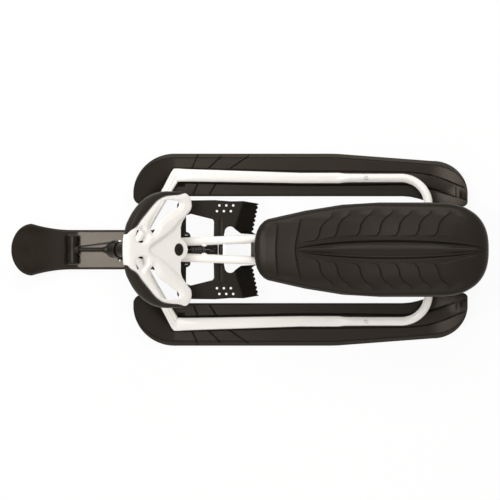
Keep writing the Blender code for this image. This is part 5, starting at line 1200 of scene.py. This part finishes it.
SEAM = 0.0015                            # the back stands in from the shell by this much
FLIPPED = ON_COLUMN @ Matrix.Diagonal((1, 1, -1, 1))
back_loop = inset(wheel_loop, SEAM)
back_holes = [inset(w, -SEAM) for w in windows]
back_holes[:2] = [inset(w, -LEAN - BACK_LEAN, AHEAD) for w in back_holes[:2]]
bm = bmesh.new()
moulded(bm, back_loop, back_holes,
        lambda points, gap: -WHEEL_BOTTOM - rounded(gap, 0.0028), -WHEEL_SPLIT, FLIPPED,
        rings=(0.0004, 0.0010, 0.0018, 0.0028), lean=(-BACK_LEAN, -BACK_LEAN))
BOSS = [(BORE_R, -0.0560), (0.0158, -0.0560), (0.0165, -0.0553), (0.0168, -0.0500),
        (0.0180, -0.0350), (0.0206, -0.0240), (0.0226, -0.0180), (0.0238, -0.0160),
        (0.0240, -0.0140), (0.0240, -0.0080), (BORE_R, -0.0080), (BORE_R, -0.0560)]
spin(bm, BOSS, ON_COLUMN)
RIB = [(0.0150, -0.0480), (0.0150, -0.0120), (0.0400, -0.0120), (0.0385, -0.0150),
       (0.0260, -0.0190)]
RIB_HALF = 0.0011
for turn in (105, 142, 180, 218, 255):
    turned = ON_COLUMN @ Matrix.Rotation(math.radians(turn), 4, "Z")
    slab(bm, RIB, -RIB_HALF, RIB_HALF, turned @ upright(0, 0), 0.0004)
wheel_rear = piece_of("wheel_rear", bm, wheel_white, "steering", 35.0)
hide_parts("wheel_back")
# a black steel plate under the back, set there as painted shade: its edge darkens the windows' hub
# side
black_steel = finish("black_steel", (0.0050, 0.0044, 0.0036), 0.45, grain_size=0.0012,
                     specular=0.20, gloss_tone=WARM_BLACK)
SHADE_PLATE_THICK = 0.0028
SHADE_PLATE = [(0.1270, 0.0), (0.1265, 0.0175), (0.1120, 0.0212), (0.0900, 0.0222), (0.0800, 0.0250),
        (0.0790, 0.0400), (0.0700, 0.0480), (0.0560, 0.0500), (0.0400, 0.0360), (0.0245, 0.0260),
        (0.0245, 0.0)]
bm = bmesh.new()
slab(bm, whole(SHADE_PLATE), WHEEL_BOTTOM - SHADE_PLATE_THICK, WHEEL_BOTTOM - GAP, ON_COLUMN, 0.0005)
piece_of("wheel_shade_plate", bm, black_steel, "steering", 35.0)


# Grips. Two crescents of soft black foam rubber lie round the rim from the nose to the horns,
# fullest at the sides and thin at both ends.
grip_black = finish("grip_rubber", (0.0110, 0.0084, 0.0060), 0.46, tone_drift=0.10,
                    drift_size=0.03, gloss_drift=0.06, grain_size=0.0010, grain_depth=0.00006,
                    scuff=0.02, specular=0.24, gloss_tone=WARM_BLACK)
GRIP_TALL, GRIP_END_SHARE = 0.0260, 0.42   # height in the middle, and what the ends keep of it
GRIP_FULL = 0.016                        # a grip this wide has its full height
GRIP_SINK = 0.0040
GRIP_STEPS, GRIP_ROUND = 72, 40


def along(line, share):
    """The point that lies a share of the way along a row of points."""
    spans = [(Vector(b) - Vector(a)).length for a, b in zip(line, line[1:])]
    left = share * sum(spans)
    for (a, b), span in zip(zip(line, line[1:]), spans):
        if left <= span or b is line[-1]:
            return Vector(a).lerp(Vector(b), min(1.0, left / span))
        left -= span


arc_points = [(WHEEL_CENTRE + u, v) for u, v in round_points((0.0, 0.0), WHEEL_R, 16.5, 90.0, 40)]
GRIP_OUTER = [NOSE[-1]] + arc_points + [(-0.0060, 0.1404), (-0.0122, 0.1400), (-0.0170, 0.1393)]
for side, hand in SIDES:
    inner_line = [tuple(p) for p in flowing(on_wheel([NOSE[-1]] + RIM + [HORN[0]], side), 0.003)]
    horn_tip = Vector(on_wheel(HORN, side)[0])
    turn_back = min(range(len(inner_line)),
                    key=lambda i: (Vector(inner_line[i]) - horn_tip).length)
    inner_line = inner_line[:turn_back + 1]
    outer_line = on_wheel(GRIP_OUTER, side)
    rings = []
    for i in range(GRIP_STEPS + 1):
        share = (1 - math.cos(math.pi * i / GRIP_STEPS)) / 2
        inner, outer = along(inner_line, share), along(outer_line, share)
        wide = (outer - inner).length
        way = (outer - inner) / max(wide, 1e-6)
        wide = max(wide - 0.0006, 0.0006)
        middle = (inner + outer) / 2 + way * 0.0001
        full = min(1.0, wide / GRIP_FULL) ** 0.8
        tall = GRIP_TALL * (GRIP_END_SHARE + (1 - GRIP_END_SHARE) * full)
        ring = []
        for j in range(GRIP_ROUND):
            a = 2 * math.pi * (j + 0.5) / GRIP_ROUND
            across = math.copysign(abs(math.cos(a)) ** 0.80, math.cos(a)) * wide / 2
            rise = math.copysign(abs(math.sin(a)) ** 0.80, math.sin(a)) * tall / 2
            spot = middle + way * across
            ring.append(ON_COLUMN @ Vector((spot.x, spot.y, rise - GRIP_SINK)))
        rings.append(ring)
    bm = bmesh.new()
    skin_over(bm, rings)
    grip = piece_of("grip_foam_" + hand, bm, grip_black, "steering", 50.0)
    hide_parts("grip_" + hand)


# Hub and column. A bare black cap hides the bolt that holds the wheel on the zinc-plated
# column, which turns in two flanged nylon bushes in the head tube.
black_plastic = finish("black_plastic", (0.0080, 0.0062, 0.0046), 0.32, tone_drift=0.08,
                       drift_size=0.03, gloss_drift=0.05, grain_size=0.0009,
                       grain_depth=0.00003, scuff=0.03, specular=0.22, gloss_tone=WARM_BLACK)
zinc = finish("zinc_plate", (0.58, 0.58, 0.56), 0.30, tone_drift=0.10, drift_size=0.012,
              gloss_drift=0.08, grain_size=0.0007, grain_depth=0.00002, scuff=0.10, metallic=1.0)
spun("cap", [(0.0, HUB_FACE + 0.0024), (0.0060, HUB_FACE + 0.0022), (0.0105, HUB_FACE + 0.0017),
             (0.0132, HUB_FACE + 0.0011), (0.0145, HUB_FACE + 0.0004), (CAP_R, HUB_FACE - 0.0006),
             (CAP_R, HUB_FACE - 0.0020), (0.0, HUB_FACE - 0.0020)],
     ON_COLUMN, black_plastic, "steering", "hub_cap", 64)
COLUMN_R, HEAD_TOP, HEAD_BOTTOM = 0.0110, -0.106, -0.202
FLANGE = 0.0035                          # thickness of both bushes' flanges
COLUMN_TOP, COLUMN_BOTTOM, COLUMN_BORE_R = -0.0134, -0.2383, 0.0040
spun("column_tube", [(COLUMN_BORE_R, COLUMN_TOP), (COLUMN_R - 0.0006, COLUMN_TOP),
                     (COLUMN_R, COLUMN_TOP - 0.0006), (COLUMN_R, COLUMN_BOTTOM + 0.0006),
                     (COLUMN_R - 0.0006, COLUMN_BOTTOM), (COLUMN_BORE_R, COLUMN_BOTTOM),
                     (COLUMN_BORE_R, COLUMN_TOP)],
     ON_COLUMN, zinc, "steering", "steering_column")
HEAD_R = 0.0170
collar_low = HEAD_TOP + 0.0041
collar_top = collar_low + 0.0090
spun("clamp_collar", [(BORE_R, collar_low), (HEAD_R - 0.0006, collar_low),
                      (HEAD_R, collar_low + 0.0006), (HEAD_R, collar_top - 0.0006),
                      (HEAD_R - 0.0006, collar_top), (BORE_R + 0.0006, collar_top),
                      (BORE_R, collar_top - 0.0006), (BORE_R, collar_low)],
     ON_COLUMN, black_plastic, "steering", "column_collar")
upper_low, lower_low = HEAD_TOP + GAP, HEAD_BOTTOM - GAP - FLANGE
spun("upper_bush", [(BORE_R, upper_low), (HEAD_R - 0.0005, upper_low),
                    (HEAD_R, upper_low + 0.0005), (HEAD_R, upper_low + 0.0030),
                    (HEAD_R - 0.0005, upper_low + FLANGE), (BORE_R, upper_low + FLANGE),
                    (BORE_R, upper_low)],
     ON_COLUMN, black_plastic, "frame", "head_bush_upper")
CUP_R, cup_top = HEAD_R + 0.0012, HEAD_BOTTOM + 0.0260
spun("lower_bush", [(BORE_R, lower_low), (CUP_R - 0.0008, lower_low),
                    (CUP_R, lower_low + 0.0008), (CUP_R, cup_top - 0.0004),
                    (CUP_R - 0.0004, cup_top), (HEAD_R + GAP, cup_top),
                    (HEAD_R + GAP, lower_low + FLANGE), (BORE_R, lower_low + FLANGE),
                    (BORE_R, lower_low)],
     ON_COLUMN, black_plastic, "frame", "head_bush_lower", 64)
dress("wheel_bolt", zinc)
blunt("column_foot", black_plastic, "steering", 0.0008)


# Screws. All are zinc-plated button heads with a hexagon socket, and hold the frame, the skis
# and the seat together; the nuts are nylon locknuts.
def toward(point, direction):
    """A place at a point, with its +Z along a direction."""
    turn = Vector((0, 0, 1)).rotation_difference(Vector(direction)).to_matrix().to_4x4()
    return Matrix.Translation(point) @ turn


def skin_rows(bm, rows):
    """Joins rows of points round and round and closes the last one."""
    loops = [[bm.verts.new(p) for p in row] for row in rows]
    for one, two in zip(loops, loops[1:]):
        for i in range(len(one)):
            j = (i + 1) % len(one)
            bm.faces.new((one[i], one[j], two[j], two[i]))
    bm.faces.new(loops[-1])


HEAD_CURVE = ((1.0, 0.0), (1.0, 0.25), (0.93, 0.55), (0.80, 0.80), (0.62, 1.0))
SOCKET_SHARE, SOCKET_FLOOR = 0.42, 0.35  # of the head's radius, and of its height


def screw_head(bm, place, radius, tall, shank, length):
    """A button head that stands on its seat along +Z, its socket, and the shank below it."""
    turns = [2 * math.pi * i / 24 for i in range(24)]
    rows = [[Vector((radius * share * math.cos(a), radius * share * math.sin(a), tall * rise))
             for a in turns] for share, rise in HEAD_CURVE]
    hexagon = []
    for a in turns:
        reach = radius * SOCKET_SHARE
        reach /= math.cos((a + math.pi / 6) % (math.pi / 3) - math.pi / 6)
        hexagon.append((reach * math.cos(a), reach * math.sin(a)))
    for height in (tall, tall * SOCKET_FLOOR):
        rows.append([Vector((x, y, height)) for x, y in hexagon])
    skin_rows(bm, [[place @ p for p in row] for row in rows])
    spin(bm, [(0.0, -length), (shank - 0.0004, -length), (shank, -length + 0.0005), (shank, 0.0),
              (radius, 0.0)], place, 24)


def screw(name, seat, direction, length, node, body, shank=0.0030, radius=0.0052, tall=0.0030):
    """A screw that is driven from its seat in a direction, for a CAD node."""
    bm = bmesh.new()
    screw_head(bm, toward(seat, -Vector(direction)), radius, tall, shank, length)
    piece = piece_of(name, bm, zinc, body, 30.0)
    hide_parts(node)


DOWN = Vector((0.0, 0.0, -1.0))
FRONT_BOLT_X, BACK_BOLT_X = -0.1480, 0.2996
CEILING_Z = DECK_Z + SPINE_HEIGHT - SPINE_ROOF
SEAT_BOLTS = ((0.110, "front"), (0.385, "back"))
FRONT_BOLT_LENGTH = 0.0120
SKI_GRIP, PAN_GRIP = 0.0110, 0.0095      # how far bolts reach on past the frame's tubes
PIN_HEAD_Y, PIN_LENGTH = 0.0203, 0.0490
for side, hand in SIDES:
    screw("front_ski_screw_" + hand, (FRONT_BOLT_X, side * bar_y(FRONT_BOLT_X), CEILING_Z - GAP),
          UP, FRONT_BOLT_LENGTH, "ski_bolt_front_" + hand, "frame")
    screw("rear_ski_screw_" + hand, (BACK_BOLT_X, side * BAR_Y, BAR_BOTTOM + 2 * HOOP_R + GAP),
          DOWN, 2 * HOOP_R + SKI_GRIP, "ski_bolt_rear_" + hand, "frame")
    blunt("ski_nut_" + hand, zinc, "frame", 0.0004)
    screw("rail_screw_" + hand, (HOOP_X, side * rail_y(HOOP_X), HOOP_TOP_Z - HOOP_R - GAP),
          UP, 2 * HOOP_R + 2 * RAIL_R + GAP, "rail_bolt_" + hand, "frame")
    for x, row in SEAT_BOLTS:
        screw(f"seat_screw_{row}_{hand}", (x, side * rail_y(x), RAIL_Z - RAIL_R - GAP), UP,
              2 * RAIL_R + PAN_GRIP, f"seat_bolt_{row}_{hand}", "frame")
screw("ski_hinge_pin", (PIN_X, PIN_HEAD_Y, PIN_Z), (0, -1, 0), PIN_LENGTH, "ski_pin", "steering",
      0.0040, 0.0070, 0.0040)
blunt("ski_pin_nut", black_plastic, "steering", 0.0005)


# Rope reel. The housing under the head holds the spool; its moulded arm docks the T-handle, and
# the tow rope leaves through a short spout beside the arm.
REEL_R, REEL_TOP, REEL_BOTTOM = 0.0200, -0.2110, -0.2380
REEL_WALL, LID = 0.0020, 0.0025
housing_top = REEL_TOP - LID - GAP
seam_at = (housing_top + REEL_BOTTOM) / 2
HANDLE = Vector((-0.4345, 0.0, 0.0480))
HANDLE_R, HANDLE_HALF = 0.0130, 0.0375
BOSS_X = HANDLE.x + 0.0142
rope_end = Vector((BOSS_X, 0.0078, HANDLE.z))
spout_root = ON_COLUMN @ Vector((-0.006, REEL_R - 0.0005, -0.2225))
rope_way = (rope_end - spout_root).normalized()
bm = bmesh.new()
spin(bm, [(BORE_R, REEL_BOTTOM), (REEL_R - 0.0010, REEL_BOTTOM),
          (REEL_R - 0.0003, REEL_BOTTOM + 0.0003), (REEL_R, REEL_BOTTOM + 0.0010),
          (REEL_R, seam_at - 0.0006), (REEL_R - 0.0006, seam_at), (REEL_R, seam_at + 0.0006),
          (REEL_R, housing_top - 0.0004), (REEL_R - 0.0004, housing_top),
          (REEL_R - REEL_WALL, housing_top), (REEL_R - REEL_WALL, REEL_BOTTOM + REEL_WALL),
          (BORE_R, REEL_BOTTOM + REEL_WALL), (BORE_R, REEL_BOTTOM)], ON_COLUMN, 64)
drum_middle = HUB + UP_COLUMN * (REEL_TOP + REEL_BOTTOM) / 2
# along the arm: X, Z, half width, half height
dock = [(drum_middle.x - 0.004, drum_middle.z + 0.004, 0.0150, 0.0060),
        (-0.3535, 0.0645, 0.0080, 0.0050), (-0.3620, 0.0615, 0.0053, 0.0045),
        (-0.4120, 0.0495, 0.0053, 0.0038), (BOSS_X + GAP, HANDLE.z, 0.0050, 0.0038)]
dock_rings = []
for i in range(8 * (len(dock) - 1) + 1):
    x, z, wide, tall = smoothed(dock, i / 8)
    dock_rings.append(oval(Vector((x, 0.0, z)), Vector((0, 1, 0)), UP, 2 * wide, 2 * tall, 2.6,
                           count=24))
skin_over(bm, dock_rings)
PEG = [(0.0, -0.004), (0.0034, -0.004), (0.0034, 0.0104), (0.0028, 0.0110), (0.0, 0.0110)]
spin(bm, PEG, toward((BOSS_X + GAP, 0.0, HANDLE.z), (-1, 0, 0)), 20)
SPOUT = [(0.0019, -0.0020), (0.0038, -0.0020), (0.0038, 0.0064), (0.0032, 0.0070),
         (0.0022, 0.0070), (0.0019, 0.0066), (0.0019, -0.0020)]
spin(bm, SPOUT, toward(spout_root, rope_way), 24)
housing = piece_of("reel_case", bm, black_plastic, "steering", 35.0)
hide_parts("reel_housing")
spun("reel_lid", [(BORE_R, REEL_TOP - LID), (REEL_R, REEL_TOP - LID), (REEL_R, REEL_TOP - 0.0006),
                  (REEL_R - 0.0006, REEL_TOP), (BORE_R + 0.0006, REEL_TOP),
                  (BORE_R, REEL_TOP - 0.0006), (BORE_R, REEL_TOP - LID)],
     ON_COLUMN, black_plastic, "steering", "reel_cover", 64)
dress("rope_reel", black_plastic)
dress("reel_spring", zinc)
rope_black = finish("tow_rope_braid", (0.0120, 0.0120, 0.0125), 0.75, tone_drift=0.25,
                    drift_size=0.0012, gloss_drift=0.05, grain_size=0.0007,
                    grain_depth=0.00012, sheen=0.15)
dress("wound_rope", rope_black)


# Tow handle and rope. The T-handle is waisted for two fingers a side; the braided rope is
# knotted inside its boss and pulls out forward.
WAIST_SHARE, WAIST_DEEP = 0.62, 0.075    # shares of the handle's length and of its radius
BOSS_BORE_R = 0.0037
ROPE_R, ROPE_RELIEF = 0.0016, 0.045      # radius, and the share of it that the braid's lay takes
ROPE_STEPS = 96
bm = bmesh.new()
waist = []
for i in range(25):
    y = (HANDLE_HALF - 0.0060) * (1 - i / 12)
    swell = 0.5 + 0.5 * math.cos(math.pi * y / (HANDLE_HALF * WAIST_SHARE))
    full = 1 - swell if abs(y) < WAIST_SHARE * HANDLE_HALF else 1.0
    waist.append((HANDLE_R * (1 - WAIST_DEEP + WAIST_DEEP * full), y))
end = [(HANDLE_R * 0.985, HANDLE_HALF - 0.0038), (HANDLE_R * 0.93, HANDLE_HALF - 0.0020),
       (HANDLE_R * 0.80, HANDLE_HALF - 0.0006), (HANDLE_R * 0.60, HANDLE_HALF), (0.0, HANDLE_HALF)]
spin(bm, end[::-1] + waist + [(r, -y) for r, y in end], toward(HANDLE, (0, 1, 0)), 64)
reach = BOSS_X - HANDLE.x
spin(bm, [(BOSS_BORE_R, reach), (0.0099, reach), (0.0105, reach - 0.0006),
          (0.0105, reach - 0.0030), (0.0118, 0.0040), (0.0121, 0.0020), (BOSS_BORE_R, 0.0020),
          (BOSS_BORE_R, reach)], toward(HANDLE, (1, 0, 0)), 40)
tow_grip = piece_of("tow_grip", bm, black_plastic, "tow", 35.0)
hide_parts("tow_handle")
rope_start, rope_stop = spout_root + rope_way * 0.0030, rope_end + rope_way * 0.0040
rope_side = rope_way.cross(UP).normalized()
rope_up = rope_side.cross(rope_way)
rope_rings = []
for i in range(ROPE_STEPS + 1):
    centre = rope_start.lerp(rope_stop, i / ROPE_STEPS)
    ring = []
    for j in range(24):
        a = 2 * math.pi * j / 24
        lay = math.cos(2 * a + i * 0.75) * math.cos(2 * a - i * 0.75)
        r = ROPE_R * (1 - ROPE_RELIEF + ROPE_RELIEF * lay)
        ring.append(centre + (rope_side * math.cos(a) + rope_up * math.sin(a)) * r)
    rope_rings.append(ring)
bm = bmesh.new()
skin_over(bm, rope_rings)
rope = piece_of("tow_strand", bm, rope_black, None, 60.0)
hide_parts("tow_rope")
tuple(rope_start)
[rope_start.lerp(rope_stop, i / 24) for i in range(25)]
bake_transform(rope)


# Foot brake. One blanked and folded steel sheet, e-coated black: two pedals joined by a
# crossbar with a pressed groove, rows of drain holes and serrated claws folded down.
brake_black = finish("e_coated_steel", (0.0046, 0.0037, 0.0028), 0.36, tone_drift=0.10,
                     drift_size=0.04, gloss_drift=0.08, grain_size=0.0016, grain_depth=0.00004,
                     scuff=0.05, specular=0.16, gloss_tone=WARM_BLACK)
BRAKE_X, BRAKE_Z, PLATE = -0.1490, 0.0980, 0.0030
PLATE_TOP_Z = 0.0910
CLAW_DROP, CLAW_BEND = math.radians(36.0), 0.0030   # angle of the fold, and its radius
TOOTH_COUNT, TOOTH_BITE = 7, 0.0058
DRAIN_R, DRAIN_PITCH, DRAIN_COUNT = 0.0030, 0.0172, 3
DRAIN_ROWS = ((0.1097, -0.0673), (0.0955, -0.0733))   # Y of a row, and X of its first hole
PRESS_X, PRESS_HALF = -0.0644, 0.0026    # the groove along the crossbar
PRESS_END, PRESS_FADE, PRESS_DEEP = 0.0760, 0.0040, 0.0010
CLAW_FROM_Y = 0.0385                     # nearer the middle the sheet stays flat
ROD_R = 0.0040
EYE_R, EYE_HALF, EYE_Y = 0.0080, 0.0020, 0.0330
RIVET_X, RIVET_Y = -0.0641, 0.0832


def filleted(points, radius, count=5):
    """A closed outline with every corner rounded, as far as its edges leave room."""
    out = []
    for before, here, after in zip(points[-1:] + points[:-1], points, points[1:] + points[:1]):
        here = Vector(here)
        into, away = here - Vector(before), Vector(after) - here
        turn = into.angle(away)
        if turn < 0.02:
            out.append(tuple(here))
            continue
        reach = min(radius * math.tan(turn / 2), into.length * 0.45, away.length * 0.45)
        one, two = here - into.normalized() * reach, here + away.normalized() * reach
        for i in range(count + 1):
            t = i / count
            out.append(tuple(one.lerp(here, t).lerp(here.lerp(two, t), t)))
    return np.array(out)


FOLD_OUT, FOLD_IN = Vector((-0.0070, 0.1205)), Vector((-0.0284, 0.0507))
fold_way = (FOLD_IN - FOLD_OUT).normalized()
fold_middle = (FOLD_OUT + FOLD_IN) / 2
fold_out = Vector((-fold_way.y, fold_way.x))
if fold_out.x < 0:
    fold_out = -fold_out


def unfolded(point):
    """Where a point of the folded claw, seen from above, lies on the flat blank."""
    away = (point - fold_middle).dot(fold_out)
    return point + fold_out * away * (1 / math.cos(CLAW_DROP) - 1)


tip_out, tip_in = Vector((0.0296, 0.1150)), Vector((0.0149, 0.0402))
claw = [unfolded(tip_out)]
for i in range(TOOTH_COUNT):
    for share, bite in ((0.26, 0.0), (0.5, TOOTH_BITE), (0.74, 0.0)):
        claw.append(unfolded(tip_out.lerp(tip_in, (i + share) / TOOTH_COUNT)) - fold_out * bite)
claw += [unfolded(tip_in), unfolded(Vector((-0.0140, 0.0400)))]
half_plate = [(-0.1630, 0.0), (-0.1630, 0.0600), (-0.1720, 0.0900), (-0.1720, 0.1120),
              (-0.1650, 0.1220), (-0.0782, 0.1230), (-0.0400, 0.1200), tuple(FOLD_OUT)]
half_plate += [tuple(p) for p in claw]
half_plate += round_points((-0.0404, 0.0439), 0.0136, 32.0, 180.0, 12)
half_plate += [(-0.0555, 0.0380), (-0.0559, 0.0)]
plate_outline = half_plate + [(x, -y) for x, y in reversed(half_plate) if y > 1e-6]
foot_window = [(-0.1498, 0.0849), (-0.1378, 0.0887), (-0.0837, 0.0753), (-0.0807, 0.0700),
               (-0.0817, 0.0120), (-0.1340, 0.0120)]
foot_window += round_points((-0.1500, 0.0330), 0.0112, -8.0, 88.0, 8)
plate_holes = []
for side, hand in SIDES:
    plate_holes.append(filleted([(x, side * y) for x, y in foot_window], 0.0045))
    for row, first in DRAIN_ROWS:
        plate_holes += [np.array([(first + i * DRAIN_PITCH + DRAIN_R * math.cos(a),
                                   side * (row + DRAIN_R * math.sin(a))) for a in circle[::2]])
                        for i in range(DRAIN_COUNT)]


def plate_top(points, gap):
    """Flat but for its rounded edges and a groove pressed along the crossbar."""
    across = np.abs(points[:, 0] - PRESS_X) / PRESS_HALF
    past = (np.abs(points[:, 1]) - PRESS_END) / PRESS_FADE
    press = PRESS_DEEP * (1 - ease_all(across)) * (1 - ease_all(past))
    return PLATE_TOP_Z - press - rounded(gap, 0.0006)


bm = bmesh.new()
moulded(bm, filleted(plate_outline, 0.0030), plate_holes, plate_top, PLATE_TOP_Z - PLATE,
        Matrix(), rings=(0.0002, 0.0006), grid=0.0026)
# the claws are bent down past the fold, round CLAW_BEND and then straight
mid_z = PLATE_TOP_Z - PLATE / 2
for vert in bm.verts:
    side = 1.0 if vert.co.y > 0 else -1.0
    spot = Vector((vert.co.x, vert.co.y * side)) - fold_middle
    s, a, dz = spot.dot(fold_out), spot.dot(fold_way), vert.co.z - mid_z
    s += CLAW_BEND * CLAW_DROP / 2
    if s > 0 and abs(vert.co.y) > CLAW_FROM_Y:
        bend = min(CLAW_DROP, s / CLAW_BEND)
        rest = s - bend * CLAW_BEND
        reach = CLAW_BEND * math.sin(bend) + rest * math.cos(bend) + dz * math.sin(bend)
        fall = CLAW_BEND * (1 - math.cos(bend)) + rest * math.sin(bend) - dz * math.cos(bend)
        flat = fold_middle + fold_way * a + fold_out * (reach - CLAW_BEND * CLAW_DROP / 2)
        vert.co = (flat.x, flat.y * side, mid_z - fall)
# two eyes hinge on the pivot rod
for side, hand in SIDES:
    spin(bm, [(ROD_R + GAP, -EYE_HALF), (EYE_R - 0.0004, -EYE_HALF), (EYE_R, 0.0004 - EYE_HALF),
              (EYE_R, EYE_HALF - 0.0004), (EYE_R - 0.0004, EYE_HALF), (ROD_R + GAP, EYE_HALF),
              (ROD_R + GAP, -EYE_HALF)], toward((BRAKE_X, side * EYE_Y, BRAKE_Z), (0, 1, 0)), 32)
# the lug that takes the spring's hook
LUG = Vector((-0.0780, 0.0, 0.1240))
LUG_R, LUG_BORE_R, LUG_HALF = 0.0060, 0.0028, 0.0015
lug_foot = PLATE_TOP_Z - 0.0010 - LUG.z
lug_outline = round_points((0.0, 0.0), LUG_R, 0.0, 180.0, 12)
lug_outline += [(-0.0030, lug_foot), (0.0090, lug_foot)]
lug_hole = np.array([(LUG_BORE_R * math.cos(a), LUG_BORE_R * math.sin(a)) for a in circle[::2]])
moulded(bm, np.array(lug_outline), [lug_hole],
        lambda points, gap: LUG_HALF - rounded(gap, 0.0004), -LUG_HALF, upright(LUG.x, LUG.z),
        rings=(0.0004,))
plate = piece_of("brake_sheet", bm, brake_black, "brake", 32.0)
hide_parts("brake_plate")
for side, hand in SIDES:
    spun("brake_rivet_" + hand, [(0.0, 0.0013), (0.0014, 0.0012), (0.0023, 0.0007),
                                 (0.0026, -0.0004), (0.0, -0.0004)],
         Matrix.Translation((RIVET_X, side * RIVET_Y, PLATE_TOP_Z)), brake_black, "brake",
         steps=20)


# Brake pivot and spring. A folded saddle under the rails carries the zinc rod that the plate
# hinges on, with a cap pressed on each end. One tension spring draws the plate back up against
# a rubber stop.
ROD_HALF, ROD_CAP_Y = 0.0400, 0.0370
blunt("brake_bracket", brake_black, "frame", 0.0005)
spun("pivot_rod", [(0.0, -ROD_HALF), (ROD_R - 0.0004, -ROD_HALF), (ROD_R, 0.0004 - ROD_HALF),
                   (ROD_R, ROD_HALF - 0.0004), (ROD_R - 0.0004, ROD_HALF), (0.0, ROD_HALF)],
     toward((BRAKE_X, 0, BRAKE_Z), (0, 1, 0)), zinc, "frame", "brake_rod", 32)
for side, hand in SIDES:
    spun("push_cap_" + hand, [(ROD_R + GAP, 0.0), (0.0058, 0.0), (0.0062, 0.0004),
                              (0.0062, 0.0030), (0.0055, 0.0043), (0.0038, 0.0050),
                              (0.0, 0.0050), (0.0, 0.0034), (ROD_R + GAP, 0.0034),
                              (ROD_R + GAP, 0.0)],
         toward((BRAKE_X, side * ROD_CAP_Y, BRAKE_Z), (0, side, 0)), black_plastic, "frame",
         "rod_cap_" + hand, 32)
blunt("brake_stop", grip_black, "frame", 0.0006)
dress("spring_anchor", brake_black)
# the spring's steel is given a dark tone
spring_steel = finish("dark_spring_steel", (0.16, 0.155, 0.15), 0.34, tone_drift=0.15,
                      drift_size=0.004, gloss_drift=0.08, grain_size=0.0005,
                      grain_depth=0.00001, metallic=1.0)
return_spring = blunt("brake_spring", spring_steel, None, 0.0, smooth=60.0)
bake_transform(return_spring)


# Between the rails. A zinc-plated steel bridge ties the two rails together behind the head
# tube, with its cross pin, and a painted stud is pressed into the inside of each rail.
dress("rail_bridge", zinc)
spun("bridge_pin", [(0.0, -0.0124), (0.0010, -0.0124), (0.0010, 0.0124), (0.0, 0.0124)],
     toward((-0.0690, 0.0, 0.1460), (0, 1, 0)), zinc, "frame", steps=16)
for side, hand in SIDES:
    spun("rail_stud_" + hand, [(0.0070, -0.0040), (0.0070, 0.0008), (0.0060, 0.0022),
                               (0.0036, 0.0032), (0.0, 0.0036)],
         toward((-0.1035, side * 0.0112, 0.1420), (0, -side, 0)), white_paint, "frame", steps=32)
